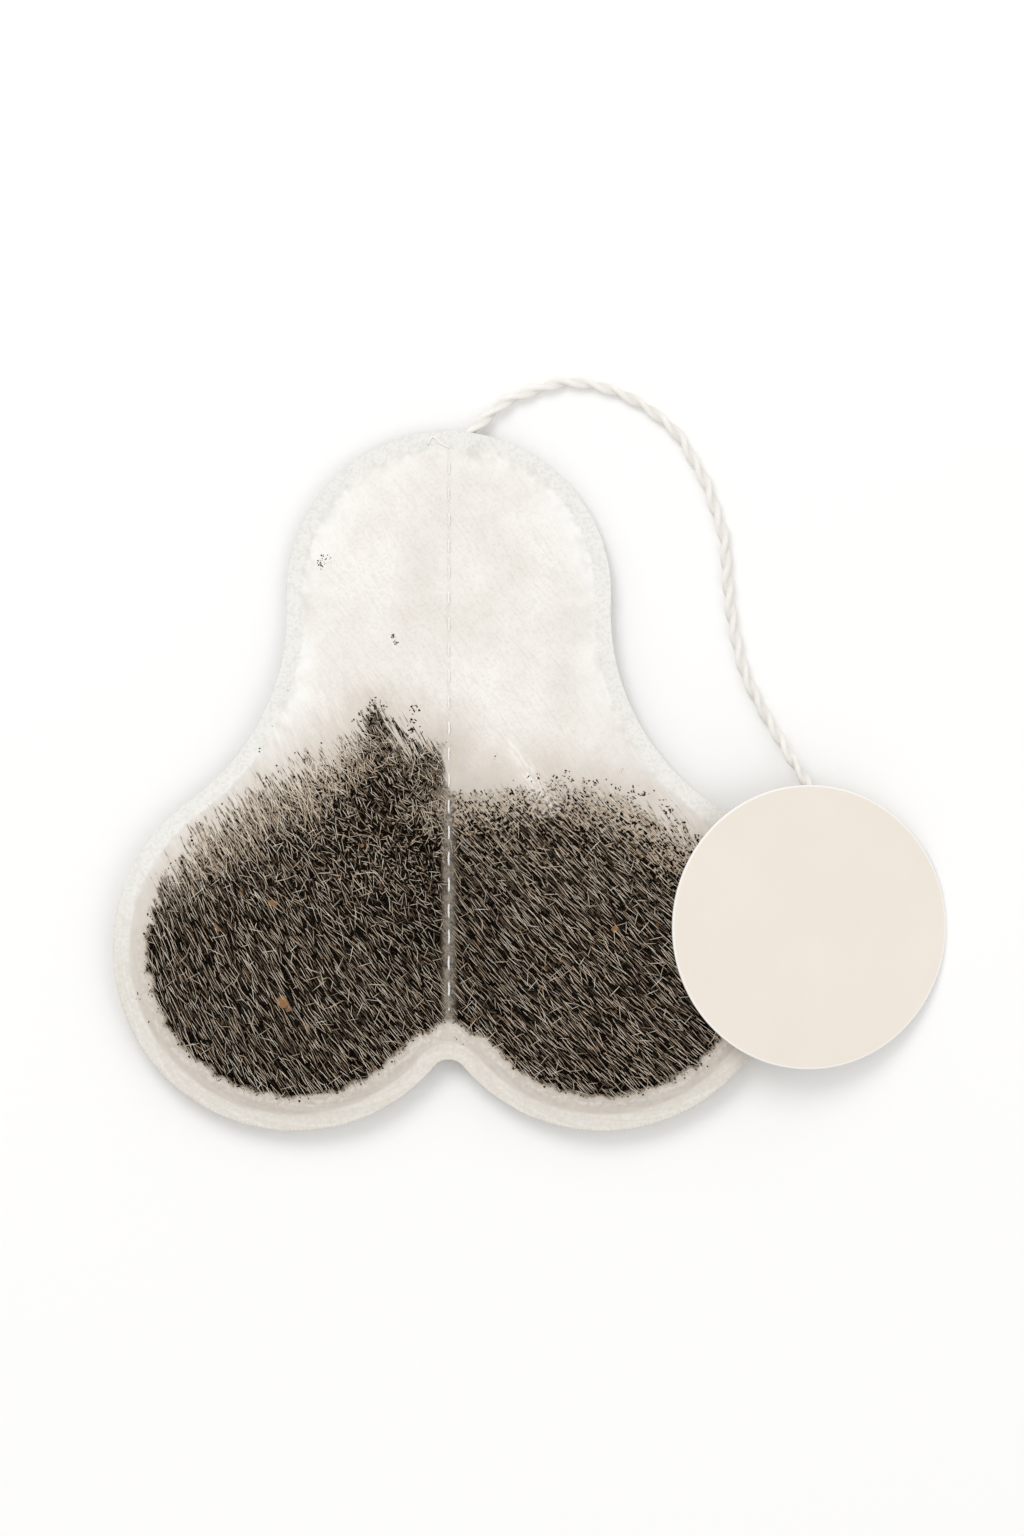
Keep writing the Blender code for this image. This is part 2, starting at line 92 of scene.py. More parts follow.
# Loose crumbs that lie apart from the fills: x, y, spread and count, in millimetres
CRUMBS = (
    (-7.2, 7.4, 1.0, 34),
    (-8.3, 6.4, 0.7, 16),
    (-5.9, 6.0, 0.6, 14),
    (-12.4, 21.8, 0.8, 30),
    (-5.5, 14.4, 0.22, 9),
    (-5.3, 13.8, 0.22, 9),
    (-3.4, 7.1, 0.5, 18),
    (-3.6, 6.0, 0.3, 10),
    (-3.7, 5.0, 0.3, 11),
    (-3.9, 3.9, 0.5, 18),
    (-2.2, 3.6, 0.4, 6),
    (0.8, -25.5, 0.25, 2),
    (1.4, -26.4, 0.2, 2),
    (-31.1, -21.4, 0.5, 3),
    (-29.8, -24.1, 0.2, 2),
    (-17.5, 5.4, 0.2, 1),
    (-18.8, 3.1, 0.3, 2),
    (-16.2, 9.0, 0.2, 1),
    (4.8, 2.2, 0.3, 2),
    (17.4, 1.0, 0.3, 2),
    (14.6, -0.2, 0.3, 9),
    (21.9, -3.0, 0.5, 16),
    (18.0, -1.5, 0.7, 16),
    (11.5, 0.2, 0.9, 20),
    (25.8, -28.3, 0.15, 1),
)
# Paler bits of leaf: x, y, length and turn, in millimetres and degrees
LEAF_BITS = (
    (-16.4, -21.9, 1.1, -70.0),
    (-15.9, -22.6, 0.8, 20.0),
    (-22.9, -14.6, 0.7, -40.0),
    (-17.4, -12.1, 0.9, -15.0),
    (16.5, -14.7, 0.8, -50.0),
    (9.4, -20.5, 0.6, -60.0),
    (-8.6, -6.4, 0.6, 30.0),
)

# The plume of crumbs beside the seam: its middle, its spread and how far it lifts the left fill's edge
PLUME_PLACE = (-7.4 * MM, 6.4 * MM)
PLUME_SPREAD = (1.0 * MM, 1.9 * MM)
PLUME_LIFT = 1.7 * MM

# A tuft of loose white fibres at the right fill's edge, in millimetres
FEATHER_START = (5.9, 3.9)
FEATHER_END = (9.7, -1.9)

# String: its route in metres from the sealed end to the tag
STRING_RADIUS = 0.6 * MM
STRING_SEALED_SHARE = 0.55
STRING_PITCH = 5.4 * MM
STRING_STRANDS = 2
STRING_EXIT = (0.0022, 0.03475, 0.0013)
STRING_ROUTE = (
    (0.00200, 0.03130, 0.00130),
    (0.00190, 0.03240, 0.00130),
    (0.00195, 0.03360, 0.00130),
    STRING_EXIT,
    (0.00385, 0.03630, 0.00100),
    (0.00560, 0.03780, 0.00078),
    (0.00795, 0.03880, 0.00066),
    (0.01120, 0.03975, 0.00062),
    (0.01440, 0.03955, 0.00062),
    (0.01760, 0.03850, 0.00062),
    (0.02030, 0.03690, 0.00062),
    (0.02290, 0.03460, 0.00062),
    (0.02440, 0.03210, 0.00062),
    (0.02570, 0.02970, 0.00062),
    (0.02670, 0.02680, 0.00062),
    (0.02750, 0.02415, 0.00062),
    (0.02775, 0.02090, 0.00062),
    (0.02805, 0.01770, 0.00062),
    (0.02860, 0.01450, 0.00062),
    (0.02950, 0.01095, 0.00062),
    (0.03100, 0.00770, 0.00075),
    (0.03250, 0.00510, 0.00110),
)
STRING_UNDER_TAG = (
    (0.0342, 0.0022),
    (0.0357, -0.0004),
    (0.0362, -0.0034),
    (0.0360, -0.0064),
    (0.0358, -0.0094),
)
STRING_RISE_SHARE = (0.75, 1.0, 1.0, 1.0, 1.0)
TAG_SEAT_GAP = 0.1 * MM

# Fields of height and distance over the bag
GRID = 0.25 * MM
COARSE = 0.5 * MM
MARGIN = 2.0 * MM
box_low, box_high = (np.array(corner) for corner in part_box("front_sheet"))
COLUMNS = np.arange(box_low[0] - MARGIN, box_high[0] + MARGIN, GRID)
ROWS = np.arange(box_low[1] - MARGIN, box_high[1] + MARGIN, GRID)
FIELD_X, FIELD_Y = np.meshgrid(COLUMNS, ROWS)
COARSE_COLUMNS = np.arange(COLUMNS[0], COLUMNS[-1], COARSE)
COARSE_ROWS = np.arange(ROWS[0], ROWS[-1], COARSE)


def smoothstep(value, low, high):
    share = np.clip((np.asarray(value, float) - low) / (high - low), 0.0, 1.0)
    return share * share * (3.0 - 2.0 * share)


def heading(start, end):
    return math.atan2(end[1] - start[1], end[0] - start[0])


def bag_loop(inset, step):
    """The bag's outline at a distance inside its edge, as one closed ring of points."""
    head, lobe = (0.0, HEAD_Y), (LOBE_X, LOBE_Y)
    notch = (0.0, LOBE_Y - math.sqrt((LOBE_RADIUS + NOTCH_RADIUS) ** 2 - LOBE_X**2))
    across, along = LOBE_X, LOBE_Y - HEAD_Y
    between = math.hypot(across, along)
    to_head, to_lobe = HEAD_RADIUS + FLANK_RADIUS, LOBE_RADIUS + FLANK_RADIUS
    share = (to_head**2 - to_lobe**2 + between**2) / (2.0 * between)
    side = math.sqrt(to_head**2 - share**2)
    flank = ((across * share - along * side) / between, HEAD_Y + (along * share + across * side) / between)
    pieces = (
        (head, HEAD_RADIUS, -inset, math.pi / 2, heading(head, flank)),
        (flank, FLANK_RADIUS, inset, heading(flank, head) % math.tau, heading(flank, lobe) % math.tau),
        (lobe, LOBE_RADIUS, -inset, heading(lobe, flank), heading(lobe, notch)),
        (notch, NOTCH_RADIUS, inset, heading(notch, lobe), math.pi / 2),
    )
    right = []
    for centre, radius, change, first, last in pieces:
        reach = radius + change
        count = max(3, round(abs(last - first) * reach / step))
        angles = first + (last - first) * np.arange(count) / count
        right += [(centre[0] + reach * math.cos(a), centre[1] + reach * math.sin(a)) for a in angles]
    bottom = (0.0, notch[1] + NOTCH_RADIUS + inset)
    return right + [bottom] + [(-x, y) for x, y in reversed(right[1:])]


def sample(field, x, y):
    """A field's value at any points, by straight lines between its own."""
    u = np.clip((np.asarray(x) - COLUMNS[0]) / GRID, 0, len(COLUMNS) - 1.001)
    v = np.clip((np.asarray(y) - ROWS[0]) / GRID, 0, len(ROWS) - 1.001)
    i, j = u.astype(int), v.astype(int)
    u, v = u - i, v - j
    low = field[j, i] * (1 - u) + field[j, i + 1] * u
    high = field[j + 1, i] * (1 - u) + field[j + 1, i + 1] * u
    return low * (1 - v) + high * v


def blurred(field, passes):
    """The field with its unevenness spread out."""
    for _ in range(passes):
        for axis in (0, 1):
            ends = np.pad(field, [(1, 1) if a == axis else (0, 0) for a in (0, 1)], mode="edge")
            places = np.arange(field.shape[axis])
            before, middle, after = (np.take(ends, places + shift, axis) for shift in (0, 1, 2))
            field = (before + 2.0 * middle + after) / 4.0
    return field


def finer(coarse):
    """A coarse field read at the fine field's points."""
    across = np.stack([np.interp(COLUMNS, COARSE_COLUMNS, row) for row in coarse])
    return np.stack([np.interp(ROWS, COARSE_ROWS, column) for column in across.T], axis=1)


def node_heights(node, from_above):
    """The height at which each coarse point meets a node, carried on past its edge, and whether it does."""
    graph = bpy.context.evaluated_depsgraph_get()
    tree = BVHTree.FromObject(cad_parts[node], graph)
    start, way = (0.05, -1.0) if from_above else (-0.05, 1.0)
    found = np.full((len(COARSE_ROWS), len(COARSE_COLUMNS)), np.nan)
    for j, y in enumerate(COARSE_ROWS):
        for i, x in enumerate(COARSE_COLUMNS):
            hit = tree.ray_cast(Vector((x, y, start)), Vector((0, 0, way)))[0]
            if hit is not None:
                found[j, i] = hit.z
    met = ~np.isnan(found)
    for _ in range(8):
        gap = np.isnan(found)
        around = np.stack([np.roll(found, shift, axis) for shift in (-1, 1) for axis in (0, 1)])
        known = ~np.isnan(around)
        near = known.sum(0)
        total = np.where(known, around, 0.0).sum(0)
        fill = gap & (near > 0)
        found[fill] = total[fill] / near[fill]
    return np.nan_to_num(found, nan=float(np.nanmean(found))), met


def edge_fields():
    """How far each point lies inside the bag's edge, below 0 outside it, and how far round the edge it is."""
    loop = np.array(bag_loop(0.0, 1.0 * MM))
    ends = np.roll(loop, -1, axis=0)
    along = ends - loop
    run = np.concatenate([[0.0], np.cumsum(np.hypot(*along.T))])
    near, where = np.full(FIELD_X.shape, 1.0), np.zeros(FIELD_X.shape)
    crossed = np.zeros(FIELD_X.shape, bool)
    for (x0, y0), (dx, dy), start in zip(loop, along, run):
        share = np.clip(((FIELD_X - x0) * dx + (FIELD_Y - y0) * dy) / (dx * dx + dy * dy), 0.0, 1.0)
        gap = np.hypot(FIELD_X - x0 - share * dx, FIELD_Y - y0 - share * dy)
        closer = gap < near
        near = np.where(closer, gap, near)
        where = np.where(closer, start + share * math.hypot(dx, dy), where)
        if dy != 0.0:
            at = x0 + (FIELD_Y - y0) * dx / dy
            crossed ^= ((y0 > FIELD_Y) != (y0 + dy > FIELD_Y)) & (FIELD_X < at)
    return np.where(crossed, near, -near), where


def noise_at(u, v, seed):
    values = [noise.noise(Vector((a, b, seed))) for a, b in zip(u.ravel(), v.ravel())]
    return np.array(values).reshape(u.shape)


def noise_field(along_scale, across_scale, angle, seed):
    """Smooth noise over the bag, drawn out along one direction."""
    cos, sin = math.cos(angle), math.sin(angle)
    u = (FIELD_X * cos + FIELD_Y * sin) / along_scale
    v = (FIELD_Y * cos - FIELD_X * sin) / across_scale
    return noise_at(u, v, seed)


def distance_inside(mask, reach):
    """How far each fine point lies inside the mask, below 0 outside it, up to the reach."""
    straight, slanted = [(-1, 0), (1, 0), (0, -1), (0, 1)], [(-1, -1), (-1, 1), (1, -1), (1, 1)]
    signed = np.zeros(mask.shape)
    for left, sign in ((mask, 1.0), (~mask, -1.0)):
        for ring in range(int(reach / GRID)):
            signed[left] = sign * (ring + 0.5) * GRID
            shifts = straight + slanted * (ring % 2)
            left = np.logical_and.reduce([left] + [np.roll(left, shift, (0, 1)) for shift in shifts])
        signed[left] = sign * reach
    return blurred(signed, 2)


def tag_frame():
    """The tag's middle, radius and tilt, read from its box and its largest face in the frame."""
    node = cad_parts["tag"]
    face = max(node.data.polygons, key=lambda p: p.area * (p.normal.z > 0.5))
    low, high = (Vector(corner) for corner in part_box("tag"))
    return (low + high) / 2, (high.y - low.y) / 2, math.atan2(face.normal.x, face.normal.z)


FIBRE_ANGLE = math.radians(-60.0)
tag_middle, tag_radius, tag_tilt = tag_frame()
tag_far_x = tag_middle.x + tag_radius * math.cos(tag_tilt)
edge, run = edge_fields()
front_base = finer(blurred(node_heights("front_sheet", True)[0], 3))
back_base = finer(blurred(node_heights("back_sheet", False)[0], 2))
tea_mask = np.zeros(FIELD_X.shape, bool)
for node, side in (("tea_left", -1.0), ("tea_right", 1.0)):
    filled_in = finer(node_heights(node, True)[1].astype(float)) > 0.5
    inner = (np.abs(FIELD_X) < FILL_SOLID_FROM_SEAM) & (FIELD_X * side >= 0)
    reach_in = filled_in[:, np.abs(COLUMNS - side * FILL_SOLID_FROM_SEAM).argmin()]
    tea_mask |= filled_in | (inner & reach_in[:, None])
tea_depth = distance_inside(tea_mask, 7.0 * MM)
tall = noise_field(3.2 * MM, 0.42 * MM, FIBRE_ANGLE - 0.12, 3.0)
crumbly = noise_field(1.1 * MM, 0.8 * MM, 0.0, 8.0)
upright = noise_field(3.4 * MM, 0.5 * MM, math.radians(-84.0), 17.0)
plume_x = (FIELD_X - PLUME_PLACE[0]) / PLUME_SPREAD[0]
plume_y = (FIELD_Y - PLUME_PLACE[1]) / PLUME_SPREAD[1]
plume = PLUME_LIFT * np.exp(-(plume_x**2) - plume_y**2)
upper_edge = smoothstep(FIELD_Y, -15.0 * MM, -7.0 * MM)
spikes = np.where(np.abs(FIELD_X) < 12.0 * MM, 0.5 * (tall + upright), tall)
spikes *= np.where(FIELD_X > 0.0, 0.45, 1.0)
felt = smoothstep(noise_field(0.8 * MM, 0.5 * MM, FIBRE_ANGLE, 91.0), -0.60, 0.30)
fray = 0.10 + 0.90 * upper_edge * smoothstep(np.abs(FIELD_X), 0.5 * MM, 3.0 * MM)
fray *= 1.0 - 0.75 * smoothstep(FIELD_X, 0.0, 2.0 * MM) * smoothstep(FIELD_X, 24.0 * MM, 16.0 * MM)
ragged = tea_depth + plume - 0.35 * MM * upper_edge
ragged += MM * ((0.15 + 1.6 * upper_edge) * spikes + 0.45 * crumbly)
ragged = np.minimum(ragged, edge - SEAL_WIDTH - 0.2 * MM)
ragged = np.minimum(ragged, np.hypot(FIELD_X, FIELD_Y - SEAM_FOOT_Y) - SEAM_FOOT_RADIUS)
press = smoothstep(ragged, -0.5 * MM, 0.5 * MM)


def paper_relief():
    """The paper's fine folds: puckers along the seal, pleats by the stitches, creases and the tea behind."""
    inside = smoothstep(edge, SEAL_WIDTH - 0.1 * MM, SEAL_WIDTH + 1.0 * MM)
    off_seam = smoothstep(np.abs(FIELD_X), 0.3 * MM, 2.0 * MM)
    on_lobe = smoothstep(FIELD_Y, 2.0 * MM, -6.0 * MM)
    wander = noise_field(5.0 * MM, 5.0 * MM, 0.0, 1.0)
    uneven = 0.5 + noise_field(6.0 * MM, 6.0 * MM, 0.0, 61.0)
    depth = (edge - SEAL_WIDTH) / (0.9 * MM)
    by_seal = np.where(depth > 0.0, depth * np.exp(1.0 - np.clip(depth, 0.0, 30.0)), 0.0)
    fine_pucker = np.sin(math.tau * run / (1.9 * MM) + 12.0 * wander) * np.clip(uneven, 0.0, 1.0)
    wide_pucker = np.sin(math.tau * run / (5.2 * MM) + 7.0 * wander)
    relief = by_seal * off_seam * (0.06 * fine_pucker + 0.09 * wide_pucker)
    rings = noise_at(run / (4.0 * MM), edge / (0.55 * MM), 70.0)
    slack = smoothstep(edge, SEAL_WIDTH, SEAL_WIDTH + 0.6 * MM) * (1.0 - press) * on_lobe
    relief += slack * off_seam * 0.16 * rings
    by_seam = np.exp(-np.abs(FIELD_X) / (1.5 * MM))
    pleat = np.sin(math.tau * FIELD_Y / (0.5 * STITCH_PITCH) + 2.0 * wander)
    relief += 0.05 * by_seam * off_seam * inside * pleat
    soft = noise_field(7.0 * MM, 5.0 * MM, FIBRE_ANGLE, 20.0)
    softer = noise_field(2.6 * MM, 1.5 * MM, FIBRE_ANGLE, 31.0)
    relief += inside * off_seam * (1.0 - 0.7 * press) * (0.26 * soft + 0.035 * softer)
    relief += inside * off_seam * press * (0.10 * crumbly + 0.03 * tall)
    crimp = noise_field(1.3 * MM, 0.8 * MM, 0.0, 44.0)
    return MM * (relief + (0.02 * crimp + 0.05 * wander) * (1.0 - inside))


relief = paper_relief()
under_tag = np.hypot(FIELD_X - tag_middle.x, FIELD_Y - tag_middle.y) < tag_radius + 0.4 * MM
tag_underside = (tag_far_x - FIELD_X) * math.tan(tag_tilt)
front_z = front_base + relief
front_z = np.where(under_tag, np.minimum(front_z, tag_underside - 0.15 * MM), front_z)
back_relief = 0.6 * np.roll(relief, 9, axis=1) * smoothstep(back_base, 0.02 * MM, 0.5 * MM)
back_z = np.maximum(back_base - back_relief, 0.0)
front_z = np.maximum(front_z, back_z + 2.0 * PAPER + 0.03 * MM)


def make_mesh(name, verts, faces, slot, material, smooth=True):
    mesh = bpy.data.meshes.new(name)
    mesh.from_pydata([tuple(v) for v in verts], [], [tuple(f) for f in faces])
    mesh.validate()
    if smooth:
        mesh.shade_smooth()
    piece = bpy.data.objects.new(name, mesh)
    bpy.context.scene.collection.objects.link(piece)
    mesh.materials.append(material)
    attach(piece, BODY)
    return piece


def put_values(piece, name, values):
    layer = piece.data.attributes.new(name, "FLOAT", "POINT")
    layer.data.foreach_set("value", np.asarray(values, np.float32))


class Shader:
    """A material's node tree, with short ways to add its nodes."""

    def __init__(self, name):
        self.material = bpy.data.materials.new(name)
        self.material.use_nodes = True
        self.tree = self.material.node_tree
        self.surface = self.tree.nodes["Principled BSDF"]
        self.set(Metallic=0.0)

    def node(self, kind, values=(), **settings):
        made = self.tree.nodes.new("ShaderNode" + kind)
        for key, value in settings.items():
            setattr(made, key, value)
        for key, value in dict(values).items():
            self.feed(made.inputs[key], value)
        return made

    def feed(self, socket, value):
        if isinstance(value, bpy.types.NodeSocket):
            self.tree.links.new(value, socket)
        else:
            socket.default_value = value

    def set(self, **sockets):
        """Feed the surface's own sockets, a number straight onto the socket."""
        for name, value in sockets.items():
            value = (*value, 1.0) if isinstance(value, tuple) else value
            self.feed(self.surface.inputs[name.replace("_", " ")], value)

    def maths(self, operation, first, second=0.0):
        return self.node("Math", {0: first, 1: second}, operation=operation).outputs[0]

    def times(self, first, second):
        return self.maths("MULTIPLY", first, second)

    def plus(self, first, second):
        return self.maths("ADD", first, second)

    def most(self, first, second):
        return self.maths("MAXIMUM", first, second)

    def scaled(self, vector, scale):
        return self.node("VectorMath", {0: vector, "Scale": scale}, operation="SCALE").outputs[0]

    def moved(self, vector, way):
        return self.node("VectorMath", {0: vector, 1: way}, operation="ADD").outputs[0]

    def value(self, name):
        """A value that the mesh holds at its points."""
        return self.node("Attribute", attribute_name=name).outputs["Fac"]

    def millimetres(self):
        """The object's own coordinates in millimetres."""
        return self.scaled(self.node("TexCoord").outputs["Object"], 1.0 / MM)

    def bent(self, reach, scale):
        """Millimetres, pushed to and fro a little so that lines along them curve."""
        place = self.millimetres()
        push = self.node("TexNoise", {"Vector": place, "Scale": scale, "Detail": 0.0})
        return self.moved(place, self.scaled(push.outputs["Color"], reach))

    def noise(self, place, scale, detail=2.0, roughness=0.5):
        values = {"Vector": place, "Scale": scale, "Detail": detail, "Roughness": roughness}
        return self.node("TexNoise", values).outputs["Fac"]

    def drawn_out(self, place, angle, along, across, detail, roughness):
        """Noise drawn out along an angle, with so many steps to the millimetre along it and across it."""
        turn = {"Vector": place, "Rotation": (0.0, 0.0, angle), "Scale": (1.0 / along, 1.0 / across, 1.0)}
        turned = self.node("Mapping", turn, vector_type="TEXTURE").outputs[0]
        return self.noise(turned, 1.0, detail, roughness)

    def ramp(self, value, low, high, first=0.0, last=1.0):
        """What goes from first to last as the value goes from low to high."""
        ends = {"Value": value, "From Min": low, "From Max": high, "To Min": first, "To Max": last}
        return self.node("MapRange", ends, clamp=True).outputs[0]

    def mix(self, share, first, last):
        made = self.node("Mix", data_type="RGBA")
        for socket, value in ((made.inputs[0], share), (made.inputs[6], first), (made.inputs[7], last)):
            self.feed(socket, (*value, 1.0) if isinstance(value, tuple) else value)
        return made.outputs[2]

    def layered(self, colour, *layers):
        """A colour under layers, each given as its share and its own colour."""
        for share, tint in layers:
            colour = self.mix(share, colour, tint)
        return colour

    def bump(self, height, distance, strength):
        made = self.node("Bump", {"Height": height, "Distance": distance, "Strength": strength})
        self.set(Normal=made.outputs[0])


class PaperShader(Shader):
    """Filter paper: a web of long fibres, nearly clear where tea presses on it and white elsewhere."""

    def __init__(self, name):
        super().__init__(name)
        place = self.millimetres()
        self.swayed = self.bent(1.1, 0.16)
        self.fine = self.noise(place, 2.2, 2.0, 0.6)
        self.cloud = self.noise(place, 0.13, 3.0, 0.55)
        self.speck = self.noise(place, 3.0, 1.0, 0.5)
        # low reads the painted shade that grows towards the bag's low end
        self.low, self.upper, self.feather = (self.value(label) for label in ("low", "upper", "feather"))
        self.across = self.maths("ABSOLUTE", self.node("SeparateXYZ", {0: place}).outputs[0])
        self.seam = self.ramp(self.plus(self.across, self.times(self.fine, 0.5)), 0.55, 1.15, 1.0, 0.0)
        spread = self.maths("SUBTRACT", self.drawn_out(self.swayed, FIBRE_ANGLE, 0.36, 4.4, 2.0, 0.6), 0.5)
        frayed = self.times(spread, self.value("fray"))
        self.depth = self.plus(self.value("depth"), self.times(frayed, 9.0))
        self.tea = self.ramp(self.depth, -0.15, 0.40)
        self.near_tea = self.ramp(self.plus(self.value("depth"), self.times(frayed, 3.0)), -5.5, 0.2)
        self.edge_in = self.plus(self.value("edge"), self.times(self.fine, 0.5))
        by_edge = self.node("CombineXYZ", {0: self.times(self.value("edge"), 2.6)}).outputs[0]
        by_edge = self.moved(by_edge, self.scaled(place, 0.35))
        self.lines = self.ramp(self.noise(by_edge, 1.0, 3.0, 0.65), 0.40, 0.62)
        self.web = self.fibre_web()

    def hairs(self, angle, across, along, width):
        """Thin crossing lines along one direction, where a drawn-out noise passes its middle."""
        off_middle = self.maths("SUBTRACT", self.drawn_out(self.swayed, angle, along, across, 1.0, 0.6), 0.5)
        return self.ramp(self.maths("ABSOLUTE", off_middle), 0.3 * width, width, 1.0, 0.0)

    def streaks(self, across, along, low, high):
        """Soft strokes along the fibres, as they are laid."""
        return self.ramp(self.drawn_out(self.swayed, FIBRE_ANGLE + 0.1, along, across, 1.0, 0.5), low, high)

    def fibre_web(self):
        web = self.hairs(FIBRE_ANGLE, 4.2, 0.5, 0.06)
        for turn, across, along, width in ((0.45, 3.8, 0.6, 0.045), (-0.75, 3.4, 0.9, 0.035)):
            web = self.most(web, self.hairs(FIBRE_ANGLE + turn, across, along, width))
        for turn, along, threshold in ((0.0, 1.5, 0.53), (1.2, 2.0, 0.59)):
            lines = self.drawn_out(self.swayed, FIBRE_ANGLE + turn, along, 5.2, 2.0, 0.6)
            web = self.most(web, self.ramp(lines, threshold, threshold + 0.05))
        return web

    def slack_colour(self):
        """White paper with streaks and specks, greyer near the tea; lighter puffs by the seal and a crest by
        the tea's low edge are painted highlight, and the low rim and the seam's crease are darkened as
        painted shade.
        """
        warm = self.mix(self.ramp(self.cloud, 0.36, 0.64), (0.82, 0.775, 0.715), (0.925, 0.895, 0.85))
        # painted highlight: paler paper where it puffs up just inside the seal
        puff_highlight = self.times(self.ramp(self.edge_in, 2.3, 5.5, 1.0, 0.0), self.ramp(self.cloud, 0.30, 0.60))
        tuft = self.ramp(self.streaks(3.2, 0.6, 0.42, 0.60), 0.0, 1.0, 0.15, 0.75)
        # painted shade: the slack paper near the rim darkens towards the bag's low end, broken up by the
        # paper's lines
        at_rim = self.times(self.ramp(self.value("edge"), 5.0, 3.0), self.low)
        rim_shade = self.ramp(self.lines, 0.0, 1.0, 0.85, 0.35)
        rim_shade = self.times(rim_shade, self.ramp(self.fine, 0.36, 0.60, 1.0, 0.55))
        # painted highlight along the crest of paper just outside the tea's edge, at the bag's low end
        crest_highlight = self.times(self.ramp(self.depth, -1.0, -0.7), self.ramp(self.depth, -0.5, -0.3, 1.0, 0.0))
        crest_highlight = self.times(crest_highlight, self.ramp(self.fine, 0.40, 0.60, 0.0, 0.35))
        # painted shade in the crease along the seam
        crease_shade = self.ramp(self.across, 0.08, 0.30, 0.30, 0.0)
        crease_shade = self.times(crease_shade, self.ramp(self.fine, 0.35, 0.6, 0.3, 1.0))
        return self.layered(
            warm,
            (self.times(self.web, 0.22), (0.95, 0.93, 0.90)),
            (self.times(self.streaks(3.6, 0.5, 0.50, 0.68), 0.24), (0.73, 0.68, 0.615)),
            (self.ramp(self.speck, 0.50, 0.66, 0.0, 0.22), (0.68, 0.63, 0.565)),
            (self.times(puff_highlight, 0.9), (0.955, 0.945, 0.925)),
            (self.times(self.near_tea, 0.86), (0.60, 0.535, 0.465)),
            (self.times(self.feather, tuft), (0.955, 0.935, 0.905)),
            (self.times(at_rim, rim_shade), (0.60, 0.54, 0.47)),
            (self.times(crest_highlight, self.low), (0.93, 0.905, 0.865)),
            (crease_shade, (0.70, 0.63, 0.55)),
        )

    def tea_colour(self):
        """Paper with the tea behind it, paler at the fill's upper edge, by the seam and in the tuft."""
        return self.layered(
            self.mix(self.fine, (0.34, 0.26, 0.185), (0.56, 0.45, 0.335)),
            (self.times(self.ramp(self.depth, 0.0, 4.0, 1.0, 0.0), self.upper), (0.60, 0.53, 0.45)),
            (self.seam, (0.42, 0.365, 0.30)),
            (self.feather, (0.86, 0.81, 0.74)),
        )

    def weld_colour(self):
        """The sealed rim, darker towards its low end as painted shade, and lined there."""
        return self.layered(
            (0.86, 0.85, 0.815),
            # painted shade: the rim darkens towards the bag's low end
            (self.times(self.low, self.ramp(self.cloud, 0.2, 0.6, 0.5, 1.0)), (0.785, 0.735, 0.665)),
            (self.ramp(self.fine, 0.35, 0.65, 0.0, 0.5), (0.90, 0.89, 0.86)),
            (self.ramp(self.speck, 0.48, 0.62, 0.0, 0.28), (0.66, 0.63, 0.575)),
            # painted shade along the rim's lines at the low end
            (self.times(self.low, self.ramp(self.lines, 0.0, 1.0, 0.3, 0.0)), (0.62, 0.56, 0.49)),
        )

    def cover(self):
        """How much the paper hides: all that is behind slack paper, and little of the tea."""
        thinning = self.ramp(self.depth, 0.0, 5.0, 0.43, 0.67)
        veil = self.ramp(self.maths("SUBTRACT", self.speck, thinning), -0.02, 0.03, 0.0, 0.85)
        over_tea = self.times(self.times(self.web, self.value("felt")), self.value("webbed"))
        for layer in (
            self.times(veil, self.upper),
            self.times(self.feather, self.ramp(self.speck, 0.40, 0.52, 0.1, 0.75)),
            self.times(self.seam, self.ramp(self.fine, 0.38, 0.62, 0.12, 0.50)),
        ):
            over_tea = self.most(over_tea, layer)
        return self.node("Mix", {0: self.tea, 2: 1.0, 3: over_tea}, data_type="FLOAT").outputs[0]


def paper_material():
    paper = PaperShader("filter_paper_look")
    pouch = paper.mix(paper.tea, paper.slack_colour(), paper.tea_colour())
    seal = paper.ramp(paper.edge_in, 1.80, 2.10, 1.0, 0.0)
    by_seal = paper.times(paper.ramp(paper.edge_in, 1.0, 2.0), paper.ramp(paper.edge_in, 2.1, 3.0, 1.0, 0.0))
    fleck = paper.drawn_out(paper.swayed, 0.6, 0.9, 0.7, 1.0, 0.5)
    # painted shade: grey flecks along the seal's inner edge, where the paper wrinkles
    wrinkle_shade = paper.times(by_seal, paper.ramp(fleck, 0.38, 0.52, 0.35, 0.0))
    whole = paper.layered(pouch, (seal, paper.weld_colour()), (wrinkle_shade, (0.66, 0.64, 0.59)))
    paper.set(Base_Color=whole, Roughness=0.78, Specular_IOR_Level=0.2, Alpha=paper.cover())
    paper.bump(paper.plus(paper.web, paper.fine), 0.02 * MM, 0.4)
    return paper.material


def leaf_material():
    shader = Shader("leaf_look")
    grain = shader.noise(shader.millimetres(), 4.0, 4.0, 0.65)
    dark = shader.mix(grain, (0.001, 0.0008, 0.0005), (0.008, 0.006, 0.004))
    brown = shader.mix(grain, (0.13, 0.075, 0.035), (0.44, 0.24, 0.11))
    shader.set(Base_Color=shader.mix(shader.value("tone"), dark, brown), Specular_IOR_Level=0.02)
    shader.set(Roughness=shader.ramp(grain, 0.3, 0.7, 0.75, 0.95))
    shader.bump(grain, 0.06 * MM, 0.8)
    return shader.material


